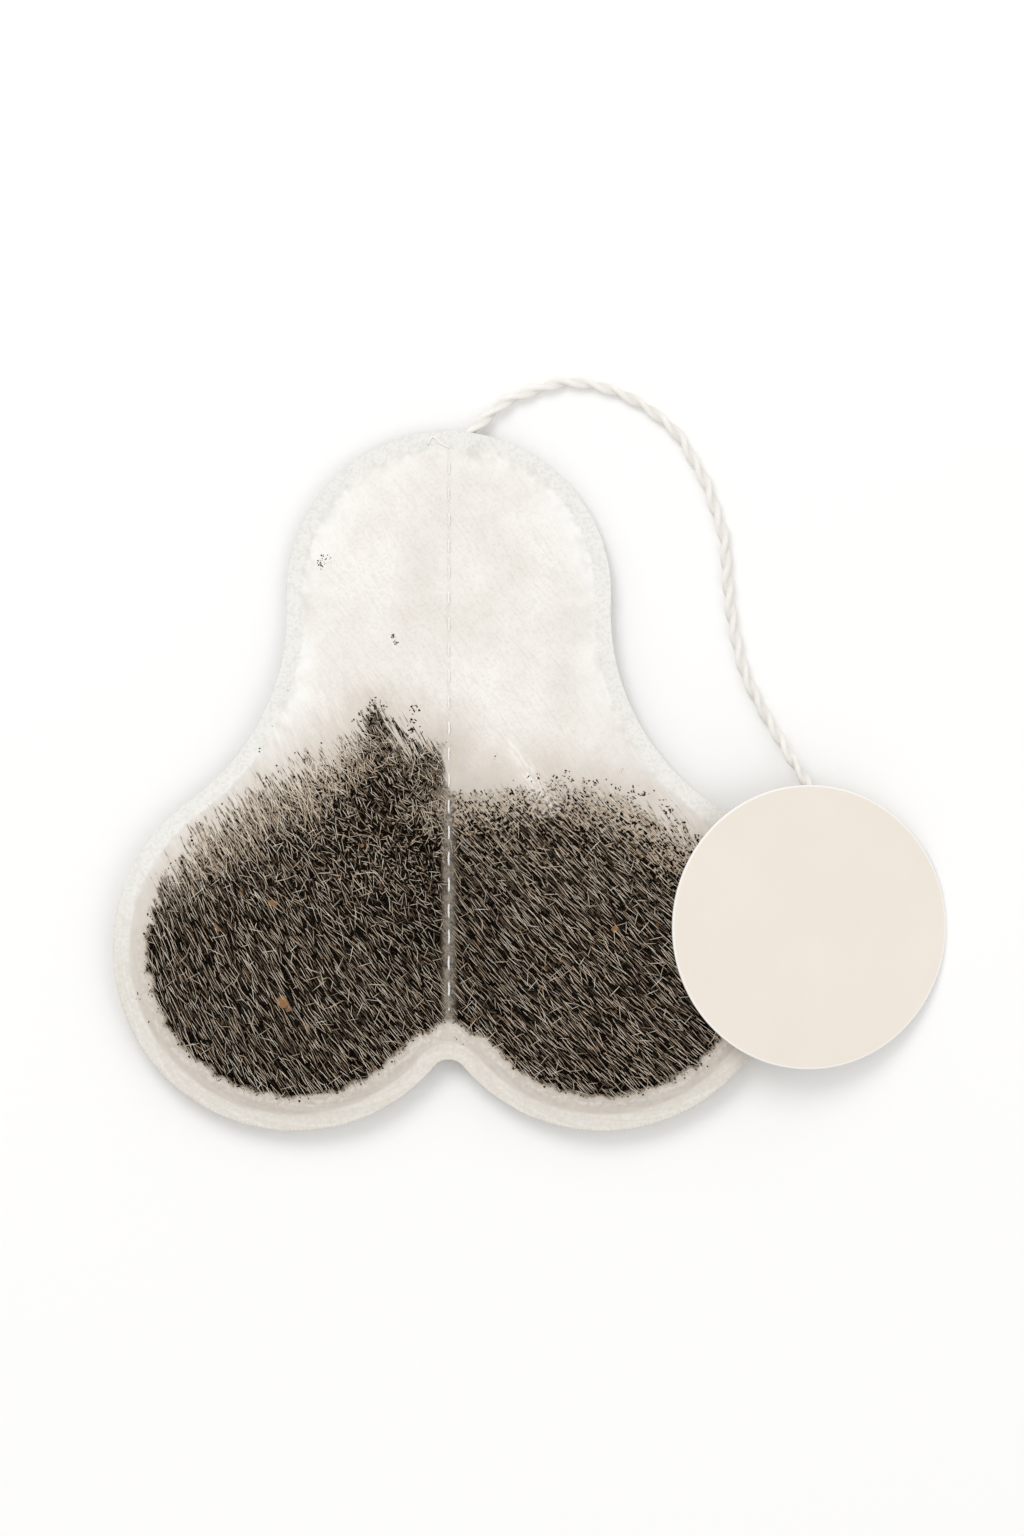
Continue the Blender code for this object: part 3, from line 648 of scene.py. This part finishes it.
def fibre_material():
    """The paper's single fibres: brown as painted shade where they lie in the tea's shade, beige over it with
    painted highlight on the brighter ones, and white past its edge.
    """
    shader = Shader("fibre_look")
    tone = shader.value("tone")
    # painted shade for the dark tones, painted highlight for the brightest
    shaded = shader.mix(shader.ramp(tone, 0.0, 0.5), (0.07, 0.052, 0.038), (0.63, 0.48, 0.335))
    whole = shader.mix(shader.ramp(tone, 0.5, 1.0), shaded, (0.93, 0.85, 0.73))
    shader.set(Base_Color=whole, Roughness=0.7, Specular_IOR_Level=0.1)
    shader.bump(shader.noise(shader.millimetres(), 6.0, 0.0), 0.01 * MM, 0.5)
    return shader.material


def cotton_material(name, light, dark):
    """Cotton yarn: fine hairs that wind with the twist, told apart by how far round and along they lie, with
    painted shade in the grooves between the strands.
    """
    shader = Shader(name)
    lay = shader.node("CombineXYZ", {0: shader.value("around"), 1: shader.value("along"), 2: 0.0})
    hairs = shader.noise(lay.outputs[0], 1.0, 3.0, 0.65)
    wide = shader.noise(shader.millimetres(), 0.6, 3.0)
    shade = tuple(0.86 * c for c in dark)
    whole = shader.layered(
        dark,
        (shader.ramp(hairs, 0.35, 0.65), light),
        # painted shade in the grooves between the strands
        (shader.times(shader.value("groove"), 0.6), shade),
        (shader.ramp(wide, 0.35, 0.7, 0.0, 0.35), light),
    )
    shader.set(Base_Color=whole, Roughness=0.85, Specular_IOR_Level=0.2)
    shader.bump(hairs, 0.06 * MM, 0.9)
    return shader.material


def card_material():
    shader = Shader("card_look")
    grain = shader.noise(shader.millimetres(), 5.0, 5.0, 0.7)
    cloud = shader.noise(shader.millimetres(), 0.12, 3.0, 0.5)
    whole = shader.layered(
        (0.855, 0.78, 0.695),
        (shader.ramp(cloud, 0.3, 0.7), (0.885, 0.81, 0.73)),
        (shader.ramp(grain, 0.35, 0.65, 0.0, 0.22), (0.93, 0.87, 0.80)),
        (shader.value("cut"), (0.97, 0.95, 0.92)),
    )
    shader.set(Base_Color=whole, Roughness=shader.ramp(grain, 0.3, 0.7, 0.5, 0.62), Specular_IOR_Level=0.35)
    shader.bump(grain, 0.03 * MM, 0.35)
    return shader.material


def hex_points(step):
    row_step = step * math.sqrt(0.75)
    ys = np.arange(ROWS[0], ROWS[-1], row_step)
    points = []
    for k, y in enumerate(ys):
        xs = np.arange(-40.0 * MM + 0.5 * step * (k % 2), 40.0 * MM, step)
        points.append(np.stack([xs, np.full(len(xs), y)], axis=1))
    return np.concatenate(points)


def sheet_layout():
    """The flat triangles of a sheet: close rings along the seal, close lines by the seam and an even grid."""
    rings = [bag_loop(inset * MM, PAPER_STEP) for inset in RING_INSETS]
    grid = hex_points(PAPER_STEP)
    grid = grid[np.abs(grid[:, 0]) > (SEAM_LINES[-1] + 0.25) * MM]
    lines = [x * side * MM for x in SEAM_LINES for side in (-1.0, 1.0)][1:]
    along = np.arange(ROWS[0], ROWS[-1], 0.33 * MM)
    by_seam = np.stack([c.ravel() for c in np.meshgrid(lines, along)], axis=1)
    grid = np.concatenate([grid, by_seam])
    grid = grid[sample(edge, *grid.T) > (RING_INSETS[-1] + 0.25) * MM]
    points = [Vector(p) for ring in rings for p in ring] + [Vector(p) for p in grid]
    outline = [(i, (i + 1) % len(rings[0])) for i in range(len(rings[0]))]
    verts, _, faces, *_ = delaunay_2d_cdt(points, outline, [], 1, 1e-9)
    return np.array([tuple(v) for v in verts]), faces


def thin_solid(flat, faces, low, high):
    """The points and faces of a closed solid between two heights over the same triangles."""
    count = len(flat)
    verts = np.concatenate([np.column_stack([flat, low]), np.column_stack([flat, high])])
    borders = {(a, b) for face in faces for a, b in zip(face, (*face[1:], face[0]))}
    made = [tuple(reversed(face)) for face in faces] + [tuple(i + count for i in face) for face in faces]
    made += [(a, b, b + count, a + count) for a, b in sorted(borders) if (b, a) not in borders]
    return verts, made


def near_tuft(x, y):
    """How near points are to the line of the tuft, which widens towards its end."""
    along = np.array(FEATHER_END) - np.array(FEATHER_START)
    from_x, from_y = x / MM - FEATHER_START[0], y / MM - FEATHER_START[1]
    share = np.clip((from_x * along[0] + from_y * along[1]) / (along @ along), 0, 1)
    off = np.hypot(from_x - share * along[0], from_y - share * along[1])
    return np.exp(-((off / (0.45 + 0.85 * share)) ** 2))


def sheet_values(x, y):
    """What the paper's look reads at the points of both sheets."""
    veiled = (0.55 + 0.45 * smoothstep(x, -16.0 * MM, -9.0 * MM)) * (1.0 - 0.8 * by_plume(x, y))
    return {
        "depth": np.clip(sample(ragged, x, y) / MM, -6.0, 6.0),
        "upper": sample(upper_edge, x, y) * veiled,
        "feather": near_tuft(x, y),
        "felt": sample(felt, x, y),
        "fray": sample(fray, x, y),
        "edge": np.clip(sample(edge, x, y) / MM, 0.0, 8.0),
        # low: painted shade that grows towards the bag's low end
        "low": smoothstep(y, -8.0 * MM, -25.0 * MM),
    }


def make_sheets():
    """Both sheets of paper. Over the tea the back one shows its web, and the front one its single fibres."""
    flat, faces = sheet_layout()
    x, y = flat.T
    front, back = sample(front_z, x, y), sample(back_z, x, y)
    values = sheet_values(x, y)
    look = paper_material()
    sheets = []
    for name, node, low, high, webbed in (
        ("front_paper", "front_sheet", front - PAPER, front, 0.01),
        ("back_paper", "back_sheet", back, back + PAPER, 0.38),
    ):
        piece = make_mesh(name, *thin_solid(flat, faces, low, high), "filter_paper", look)
        for label, field in values.items():
            put_values(piece, label, np.tile(field, 2))
        put_values(piece, "webbed", np.full(2 * len(x), webbed))
        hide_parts(node)
        sheets.append(piece)
    return sheets


def make_tea(look):
    """The body of each fill, with a crumbly edge and top."""
    grid = hex_points(TEA_STEP)
    for name, node, side in (("tea_left_leaf", "tea_left", -1.0), ("tea_right_leaf", "tea_right", 1.0)):
        near = grid[(sample(ragged, *grid.T) > -0.4 * MM) & (grid[:, 0] * side > 0.9 * TEA_FROM_SEAM)]
        near = near[sample(edge, *near.T) > SEAL_WIDTH + 0.4 * MM]
        verts, _, faces, *_ = delaunay_2d_cdt([Vector(p) for p in near], [], [], 0, 1e-9)
        flat = np.array([tuple(v) for v in verts])
        corners = flat[np.array(faces)]
        centres = corners.mean(1)
        short = np.linalg.norm(corners - np.roll(corners, 1, axis=1), axis=2).max(1) < 1.3 * TEA_STEP
        keep = (sample(ragged, *centres.T) > 0.05 * MM) & short
        faces = [face for face, kept in zip(faces, keep) if kept]
        used = sorted({i for face in faces for i in face})
        place = {old: new for new, old in enumerate(used)}
        flat, faces = flat[used], [tuple(place[i] for i in face) for face in faces]
        top, bottom = sample(front_z, *flat.T) - PAPER, sample(back_z, *flat.T) + PAPER
        rough = np.array([noise.noise(Vector((*p, 0.0)) * 1100.0) for p in flat])
        under, over = (
            np.minimum(gap + roughness * rough, most * (top - bottom))
            for gap, roughness, most in (LEAF_UNDER_FRONT, LEAF_OVER_BACK)
        )
        piece = make_mesh(name, *thin_solid(flat, faces, bottom + over, top - under), "tea_leaf", look)
        put_values(piece, "tone", np.zeros(2 * len(flat)))
        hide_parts(node)


def fibre_turn(x, y):
    """The fibres' direction at each point: steep on the left, flatter towards each chamber's right."""
    from_seam = np.clip(np.abs(x) / (30.0 * MM), 0.0, 1.0)
    left = math.radians(-48.0) - math.radians(18.0) * from_seam
    right = math.radians(-50.0) + math.radians(8.0) * from_seam
    return np.where(x < 0, left, right)


ICO = (1.0 + math.sqrt(5.0)) / 2.0
GRAIN_CORNERS = np.array(
    [(s * a, t * b * ICO, 0.0) for s, t, a, b in ((-1, 1, 1, 1), (1, 1, 1, 1), (-1, -1, 1, 1), (1, -1, 1, 1))]
    + [(0.0, s, t * ICO) for s, t in ((-1, 1), (1, 1), (-1, -1), (1, -1))]
    + [(s * ICO, 0.0, t) for s, t in ((1, -1), (1, 1), (-1, -1), (-1, 1))]
) / math.hypot(1.0, ICO)


def hull_faces(points):
    """The triangles of a convex shape, each facing out."""
    faces = []
    count = len(points)
    for i in range(count):
        for j in range(i + 1, count):
            for k in range(j + 1, count):
                normal = np.cross(points[j] - points[i], points[k] - points[i])
                reach = (points - points[i]) @ normal
                if (reach < 1e-6).all():
                    faces.append((i, j, k))
                elif (reach > -1e-6).all():
                    faces.append((i, k, j))
    return np.array(faces)


GRAIN_FACES = hull_faces(GRAIN_CORNERS)


def make_grains(name, spots, look, turn=None, flatness=1.0):
    """Broken leaf: many small uneven bits, each lying along the fibres, just behind the paper."""
    x, y, z, size, tone = spots
    count = len(x)
    long = size * RANDOM.uniform(0.9, 1.6, count)
    wide = size * RANDOM.uniform(0.55, 0.95, count)
    deep = size * RANDOM.uniform(0.4, 0.7, count) * flatness
    if turn is None:
        turn = fibre_turn(x, y) + RANDOM.normal(0.0, 0.8, count)
    jitter = RANDOM.uniform(0.72, 1.12, (count, len(GRAIN_CORNERS), 1))
    shape = GRAIN_CORNERS[None] * jitter * np.stack([long, wide, deep], axis=1)[:, None, :] / 2.0
    cos, sin = np.cos(turn)[:, None], np.sin(turn)[:, None]
    px = shape[..., 0] * cos - shape[..., 1] * sin + x[:, None]
    py = shape[..., 0] * sin + shape[..., 1] * cos + y[:, None]
    pz = shape[..., 2] + z[:, None]
    verts = np.stack([px, py, pz], axis=2).reshape(-1, 3)
    faces = (GRAIN_FACES[None] + len(GRAIN_CORNERS) * np.arange(count)[:, None, None]).reshape(-1, 3)
    piece = make_mesh(name, verts, faces, "tea_leaf", look, smooth=False)
    put_values(piece, "tone", np.repeat(tone, len(GRAIN_CORNERS)))


def scatter(count, side, low_depth, high_depth):
    """Random points in one fill of tea, all of them past the high depth and none short of the low one."""
    found = []
    while sum(len(f) for f in found) < count:
        x = side * RANDOM.uniform(TEA_FROM_SEAM, 33.0 * MM, 4000)
        y = RANDOM.uniform(-34.0 * MM, 12.0 * MM, 4000)
        depth = sample(ragged, x, y)
        keep = RANDOM.uniform(0.0, 1.0, 4000) < smoothstep(depth, low_depth, high_depth)
        keep &= (sample(edge, x, y) > SEAL_WIDTH + 0.35 * MM) & (depth > -3.6 * MM * sample(fray, x, y))
        found.append(np.stack([x[keep], y[keep]], axis=1))
    return np.concatenate(found)[:count].T


def grain_spots(x, y, from_above):
    """The height, size and tone of grains that lie against the paper at these points."""
    count = len(x)
    size = RANDOM.uniform(0.22, 0.6, count) * MM
    size = np.where(RANDOM.uniform(0, 1, count) < 0.06, 1.6 * size, size)
    tone = np.where(RANDOM.uniform(0, 1, count) < 0.14, RANDOM.uniform(0.05, 0.5, count), 0.0)
    top, bottom = sample(front_z, x, y) - PAPER, sample(back_z, x, y) + PAPER
    size = np.minimum(size, 0.9 * (top - bottom) + 0.08 * MM)
    gap = 0.01 * MM + 0.3 * size
    depth = RANDOM.uniform(0.0, 0.16, count) * MM
    z = top - gap - depth if from_above else bottom + gap + depth
    return x, y, z, size, tone


def make_all_grains(look):
    for name, side in (("left", -1.0), ("right", 1.0)):
        x, y = scatter(GRAINS_PER_SIDE, side, -1.1 * MM, 0.5 * MM)
        make_grains(f"tea_{name}_grains", grain_spots(x, y, True), look)
        x, y = scatter(GRAINS_PER_SIDE // 3, side, -0.3 * MM, 0.3 * MM)
        make_grains(f"tea_{name}_under_grains", grain_spots(x, y, False), look)
    spots = []
    for crumb_x, crumb_y, spread, count in CRUMBS:
        angle = RANDOM.uniform(0.0, math.tau, count)
        reach = spread * MM * np.sqrt(RANDOM.uniform(0.0, 1.0, count))
        spots.append(np.stack([crumb_x * MM + reach * np.cos(angle), crumb_y * MM + reach * np.sin(angle)]))
    for side, count in zip((-1.0, 1.0), RIM_CRUMBS_PER_SIDE):
        x, y = scatter(40 * count, side, -2.2 * MM, 1.0 * MM)
        clustered = sample(crumbly, x, y) > 0.08
        above = (sample(ragged, x, y) < 0.1 * MM) & (sample(upper_edge, x, y) > 0.4) & clustered
        spots.append(np.stack([x[above], y[above]])[:, :count])
        x, y = scatter(30 * LOW_CRUMBS_PER_SIDE, side, -0.45 * MM, 0.3 * MM)
        below = (sample(ragged, x, y) < 0.3 * MM) & (sample(upper_edge, x, y) < 0.4)
        spots.append(np.stack([x[below], y[below]])[:, :LOW_CRUMBS_PER_SIDE])
    x, y = np.concatenate(spots, axis=1)
    size = RANDOM.uniform(0.12, 0.34, len(x)) * MM * (1.0 - 0.25 * smoothstep(y, 9.0 * MM, 12.0 * MM))
    z = sample(front_z, x, y) - 0.12 * size
    make_grains("stray_crumbs", (x, y, z, size, RANDOM.uniform(0.0, 0.3, len(x))), look)
    x, y, length, turn = np.array(LEAF_BITS).T
    x, y = x * MM, y * MM
    z = sample(front_z, x, y) - 0.03 * MM
    make_grains("leaf_bits", (x, y, z, length * MM, np.full(len(x), 0.95)), look, np.radians(turn), 0.28)


def by_plume(x, y):
    """How near points are to the crumbly plume beside the seam."""
    beside = smoothstep(x, -11.5 * MM, -7.5 * MM) * (1.0 - smoothstep(x, -0.6 * MM, 0.0))
    return beside * smoothstep(y, -6.0 * MM, 0.0)


def laid_points(side):
    """Points over one fill in staggered rows along the fibres, each a little off its place."""
    along, across = (spacing * MM for spacing in FIBRE_SPACING)
    rows, steps = np.arange(-60.0 * MM, 60.0 * MM, across), np.arange(-60.0 * MM, 60.0 * MM, along)
    u, v = np.meshgrid(steps, rows)
    u = u + along * (0.5 * (np.arange(len(rows)) % 2)[:, None] + RANDOM.uniform(-0.4, 0.4, u.shape))
    v = v + across * RANDOM.normal(0.0, 0.18, v.shape)
    x = (u * math.cos(FIBRE_ANGLE) - v * math.sin(FIBRE_ANGLE)).ravel()
    y = (u * math.sin(FIBRE_ANGLE) + v * math.cos(FIBRE_ANGLE)).ravel()
    near = (x * side > TEA_FROM_SEAM) & (np.abs(x) < 36.0 * MM) & (y > -36.0 * MM) & (y < 14.0 * MM)
    x, y = x[near], y[near]
    kept = RANDOM.uniform(0.0, 1.0, len(x)) < smoothstep(sample(ragged, x, y), -0.3 * MM, 0.8 * MM)
    return x[kept], y[kept]


def make_fibres(name, x, y, length, width, turn, tone, look):
    """Single fibres on the front sheet, each a thin three-sided thread that follows its surface."""
    sections = 3
    count = len(x)
    bend = RANDOM.normal(0.0, 0.08, count)
    verts = np.zeros((count, sections, 3, 3))
    px, py = x.copy(), y.copy()
    step = length / (sections - 1)
    for s in range(sections):
        share = s / (sections - 1)
        way = turn + bend * (share - 0.5)
        if s:
            px, py = px + step * np.cos(way), py + step * np.sin(way)
        half = 0.5 * width * (0.35 + 0.65 * math.sin(math.pi * (0.12 + 0.76 * share)))
        base = sample(front_z, px, py) + 0.02 * MM
        for corner, (side, lift) in enumerate(((-1.0, 0.0), (1.0, 0.0), (0.0, 1.1))):
            verts[:, s, corner, 0] = px - side * half * np.sin(way)
            verts[:, s, corner, 1] = py + side * half * np.cos(way)
            verts[:, s, corner, 2] = base + lift * half
    faces = [(0, 1, 2), (3 * sections - 1, 3 * sections - 2, 3 * sections - 3)]
    for s in range(sections - 1):
        for corner in range(3):
            other = (corner + 1) % 3
            faces.append((3 * s + corner, 3 * s + 3 + corner, 3 * s + 3 + other, 3 * s + other))
    made = []
    for start in 3 * sections * np.arange(count):
        made += [tuple(start + i for i in face) for face in faces]
    piece = make_mesh(name, verts.reshape(-1, 3), made, "filter_paper", look)
    put_values(piece, "tone", np.repeat(tone, 3 * sections))


def make_all_fibres(look):
    """The long fibres that show against the tea: brown and beige over it, longer and whiter at its edge."""
    for name, side, at_rim in zip(("left", "right"), (-1.0, 1.0), EDGE_FIBRES_PER_SIDE):
        x, y = laid_points(side)
        edge_x, edge_y = scatter(16 * at_rim, side, -2.0 * MM, 0.3)
        deepest = RANDOM.uniform(0.2, 1.6 + 3.0 * (side < 0), len(edge_x)) * MM
        highest = RANDOM.uniform(0.3, 1.0, len(edge_x))
        shallow = (sample(ragged, edge_x, edge_y) < deepest) & (sample(upper_edge, edge_x, edge_y) > highest)
        edge_x, edge_y = edge_x[shallow][:at_rim], edge_y[shallow][:at_rim]
        at_edge = np.arange(len(x) + len(edge_x)) >= len(x)
        x, y = np.concatenate([x, edge_x]), np.concatenate([y, edge_y])
        count = len(x)
        crowded = by_plume(x, y)
        reach = (1.0 if side < 0 else 0.6) * (1.0 - 0.5 * crowded)
        felted = np.exp(-np.abs(x) / (10.0 * MM)) * (side < 0) * smoothstep(y, -22.0 * MM, -6.0 * MM)
        laid = RANDOM.uniform(0.65, 1.75, count) * (1.0 - 0.5 * felted)
        length = np.where(at_edge, reach * RANDOM.uniform(1.0, 2.6, count), laid) * MM
        width = RANDOM.uniform(0.045, 0.08, count) * MM
        combed = (1.0 - smoothstep(sample(ragged, x, y), 0.0, 6.0 * MM)) * sample(upper_edge, x, y)
        turn = fibre_turn(x, y) + RANDOM.normal(0.0, 1.0, count) * (0.11 + 0.8 * felted)
        astray = ~at_edge & (RANDOM.uniform(0.0, 1.0, count) < (0.12 + 0.2 * felted) * (1.0 - 0.8 * combed))
        turn = np.where(astray, RANDOM.uniform(0.0, math.pi, count), turn)
        x, y = x - 0.5 * length * np.cos(turn), y - 0.5 * length * np.sin(turn)
        ends_x, ends_y = x + length * np.cos(turn), y + length * np.sin(turn)
        outermost = np.minimum(sample(ragged, x, y), sample(ragged, ends_x, ends_y))
        # painted highlight: most fibres take a bright tone as if lit, the rest a dark tone as painted shade
        highlit = RANDOM.uniform(0.0, 1.0, count) < 0.60 + 0.32 * combed - 0.2 * crowded
        bright = np.where(highlit, RANDOM.uniform(0.5, 1.0, count), RANDOM.uniform(0.0, 0.25, count))
        paler = (1.0 - smoothstep(outermost, -0.6 * MM, 1.2 * MM)) * (0.35 + 0.65 * sample(upper_edge, x, y))
        tone = np.clip(bright + paler, 0.0, 1.0)
        kept = np.minimum(sample(edge, x, y), sample(edge, ends_x, ends_y)) > SEAL_WIDTH + 0.3 * MM
        kept &= (np.abs(x) > 0.25 * MM) & (x * ends_x > 0)
        middle = sample(felt, 0.5 * (x + ends_x), 0.5 * (y + ends_y))
        kept &= RANDOM.uniform(0.0, 1.0, count) < 0.6 + 0.4 * middle
        make_fibres(
            f"paper_{name}_fibres", x[kept], y[kept], length[kept], width[kept], turn[kept], tone[kept], look
        )


def smooth_route(points, step):
    """A smooth line through the points, resampled at even steps."""
    points = [Vector(p) for p in points]
    ends = [points[0] * 2 - points[1], *points, points[-1] * 2 - points[-2]]
    dense = []
    for a, b, c, d in zip(ends, ends[1:], ends[2:], ends[3:]):
        for i in range(24):
            t = i / 24
            bend = (2 * a - 5 * b + 4 * c - d) * t * t + (3 * b - a - 3 * c + d) * t**3
            dense.append((2 * b + (c - a) * t + bend) / 2)
    dense.append(points[-1])
    dense = np.array([tuple(p) for p in dense])
    along = np.concatenate([[0.0], np.cumsum(np.linalg.norm(np.diff(dense, axis=0), axis=1))])
    at = np.linspace(0.0, along[-1], round(along[-1] / step) + 1)
    return np.stack([np.interp(at, along, dense[:, k]) for k in range(3)], axis=1), at


def twisted(name, route, at, radii, strands, pitch, depth, sides, slot, look):
    """A cord of several strands laid round each other, as one closed mesh that follows the route."""
    tangents = np.gradient(route, axis=0)
    tangents /= np.linalg.norm(tangents, axis=1)[:, None]
    up = np.array([0.0, 0.0, 1.0])
    verts, groove, around, along = [], [], [], []
    side = np.cross(tangents[0], up)
    for place, tangent, radius, distance in zip(route, tangents, radii, at):
        side = side - tangent * (side @ tangent)
        side /= np.linalg.norm(side)
        other = np.cross(tangent, side)
        angle = math.tau * np.arange(sides) / sides
        turn = angle - math.tau * distance / pitch
        lobe = (turn + math.pi / strands) % (math.tau / strands) - math.pi / strands
        offset, strand = depth, 1.0 - depth
        reach = offset * np.cos(lobe) + np.sqrt(np.clip(strand**2 - (offset * np.sin(lobe)) ** 2, 0.0, None))
        outward = np.cos(angle)[:, None] * side + np.sin(angle)[:, None] * other
        verts.append(place + radius * reach[:, None] * outward)
        # how deep each point lies in a groove, which the look darkens as painted shade
        groove.append(np.clip((1.0 - reach) / (0.55 * depth), 0.0, 1.0))
        around.append(turn * radius / MM * 9.0)
        along.append(np.full(sides, distance / MM * 1.1))
    rings = len(route)
    verts = np.concatenate(verts)
    faces = [tuple(range(sides - 1, -1, -1)), tuple(range((rings - 1) * sides, rings * sides))]
    for r in range(rings - 1):
        for s in range(sides):
            n = (s + 1) % sides
            faces.append((r * sides + s, r * sides + n, (r + 1) * sides + n, (r + 1) * sides + s))
    piece = make_mesh(name, verts, faces, slot, look)
    for label, values in (("groove", groove), ("around", around), ("along", along)):
        put_values(piece, label, np.concatenate(values))
    return piece


def make_tag(look):
    """The card disc, with its cut edge a little softened."""
    radius = tag_radius
    half = 0.2 * MM
    soft = 0.07 * MM
    sides = 180
    profile = [(0.3 * radius, half), (0.7 * radius, half), (radius - 3 * soft, half), (radius - soft, half)]
    profile += [(radius - 0.3 * soft, half - 0.3 * soft), (radius, half - soft)]
    profile += [(r, -z) for r, z in reversed(profile)]
    angles = [math.tau * i / sides for i in range(sides)]
    verts = [(0.0, 0.0, half)]
    for r, z in profile:
        verts += [(r * math.cos(angle), r * math.sin(angle), z) for angle in angles]
    verts.append((0.0, 0.0, -half))
    pairs = [(i, (i + 1) % sides) for i in range(sides)]
    faces = [(0, 1 + i, 1 + n) for i, n in pairs]
    for ring in range(len(profile) - 1):
        start, after = 1 + ring * sides, 1 + (ring + 1) * sides
        faces += [(start + i, after + i, after + n, start + n) for i, n in pairs]
    last = 1 + (len(profile) - 1) * sides
    faces += [(len(verts) - 1, last + n, last + i) for i, n in pairs]
    piece = make_mesh("tag_card", verts, faces, "card", look)
    piece.matrix_world = Matrix.Translation(tag_middle) @ Matrix.Rotation(tag_tilt, 4, "Y")
    cut = [1.0 if math.hypot(x, y) > radius - 1.5 * soft else 0.0 for x, y, _ in verts]
    put_values(piece, "cut", cut)
    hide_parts("tag")
    return piece


def make_string(look):
    """The cotton string, from between the sheets to the tag's underside."""
    hang = (STRING_RADIUS + TAG_SEAT_GAP) / math.cos(tag_tilt)
    points = list(STRING_ROUTE)
    for (x, y), share in zip(STRING_UNDER_TAG, STRING_RISE_SHARE):
        points.append((x, y, ((tag_far_x - x) * math.tan(tag_tilt) - hang) * share))
    route, at = smooth_route(points, 0.16 * MM)
    sealed = sum((Vector(b) - Vector(a)).length for a, b in zip(points[:3], points[1:4]))
    shares = STRING_SEALED_SHARE + (1.0 - STRING_SEALED_SHARE) * np.clip(at / sealed, 0.0, 1.0)
    swelling = np.array([1.0 - 0.07 * (0.5 + noise.noise(Vector((s * 700.0, 0.0, 5.0)))) for s in at])
    radii = STRING_RADIUS * shares * swelling
    piece = twisted("string_yarn", route, at, radii, STRING_STRANDS, STRING_PITCH, 0.4, 24, "cotton", look)
    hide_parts("string")


def make_thread(look):
    """The seam's stitches: down through both sheets and up again, with the tail on the seal."""
    lift = 0.7 * THREAD_RADIUS
    points = [(x * MM, y * MM, float(sample(front_z, x * MM, y * MM)) + lift) for x, y in THREAD_TAIL]
    count = int((SEAM_TOP - SEAM_BOTTOM) / (STITCH_PITCH / 2)) + 1
    for i in range(count):
        y = SEAM_TOP - i * STITCH_PITCH / 2
        top = float(sample(front_z, 0.0, y)) + lift
        bottom = float(sample(back_z, 0.0, y)) - lift
        down = i % 2 == 0
        ends = (top, bottom) if down else (bottom, top)
        points.append((0.0, y + 0.12 * MM, ends[0]))
        points.append((0.0, y - 0.12 * MM, ends[1]))
        middle = y - STITCH_PITCH / 4
        arch = bottom - 0.03 * MM if down else top + 0.05 * MM
        if i < count - 1:
            points.append((0.03 * MM * (-1) ** (i // 2), middle, arch))
    route, at = smooth_route(points, 0.07 * MM)
    radii = np.full(len(at), THREAD_RADIUS)
    piece = twisted("seam_stitches", route, at, radii, 2, 0.8 * MM, 0.25, 10, "cotton", look)
    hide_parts("seam_thread")


def make_stage():
    """A plain pale floor, soft light from all round and one wide lamp from the upper left."""
    floor_mesh = bpy.data.meshes.new("floor")
    reach = 1.5
    corners = [(-reach, -reach, 0.0), (reach, -reach, 0.0), (reach, reach, 0.0), (-reach, reach, 0.0)]
    floor_mesh.from_pydata(corners, [], [(0, 1, 2, 3)])
    floor = bpy.data.objects.new("floor", floor_mesh)
    floor.location.z = -0.02 * MM
    bpy.context.scene.collection.objects.link(floor)
    shader = Shader("floor_look")
    shader.set(Base_Color=(0.99, 0.99, 0.985), Roughness=0.9, Specular_IOR_Level=0.0)
    floor_mesh.materials.append(shader.material)
    world = bpy.data.worlds.new("world")
    bpy.context.scene.world = world
    world.use_nodes = True
    background = world.node_tree.nodes["Background"]
    background.inputs["Color"].default_value = (1.0, 0.995, 0.985, 1.0)
    background.inputs["Strength"].default_value = 0.76
    for name, place, size, power in (
        ("key", (-0.22, 0.40, 0.55), 0.40, 1.45),
        ("fill", (0.4, -0.1, 0.6), 0.5, 0.4),
    ):
        data = bpy.data.lights.new(name, "AREA")
        data.shape = "DISK"
        data.size = size
        data.energy = power
        lamp = bpy.data.objects.new(name, data)
        lamp.location = place
        aim = Vector((0.006, 0.0, 0.0)) - Vector(place)
        lamp.rotation_euler = aim.to_track_quat("-Z", "Y").to_euler()
        bpy.context.scene.collection.objects.link(lamp)


def make_camera():
    """Straight down, framed as the photograph is: 0.1 mm to each of its pixels."""
    distance = 0.9
    frame_height = 153.6 * MM
    data = bpy.data.cameras.new("camera")
    data.sensor_fit = "VERTICAL"
    data.sensor_height = 36.0
    data.lens = data.sensor_height * distance / frame_height
    data.clip_end = 20.0
    camera = bpy.data.objects.new("camera", data)
    camera.location = (6.3 * MM, 1.3 * MM, distance)
    bpy.context.scene.collection.objects.link(camera)
    bpy.context.scene.camera = camera


def dress():
    bpy.context.scene.view_settings.view_transform = "Standard"
    make_camera()
    make_stage()
    leaf = leaf_material()
    fibre = fibre_material()
    cotton = cotton_material("cotton_look", (0.97, 0.955, 0.92), (0.90, 0.865, 0.81))
    thread = cotton_material("thread_look", (0.99, 0.985, 0.975), (0.97, 0.96, 0.945))
    for piece in make_sheets():
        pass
    make_tea(leaf)
    make_all_grains(leaf)
    make_all_fibres(fibre)
    make_thread(thread)
    tag = make_tag(card_material())
    make_string(cotton)


dress()
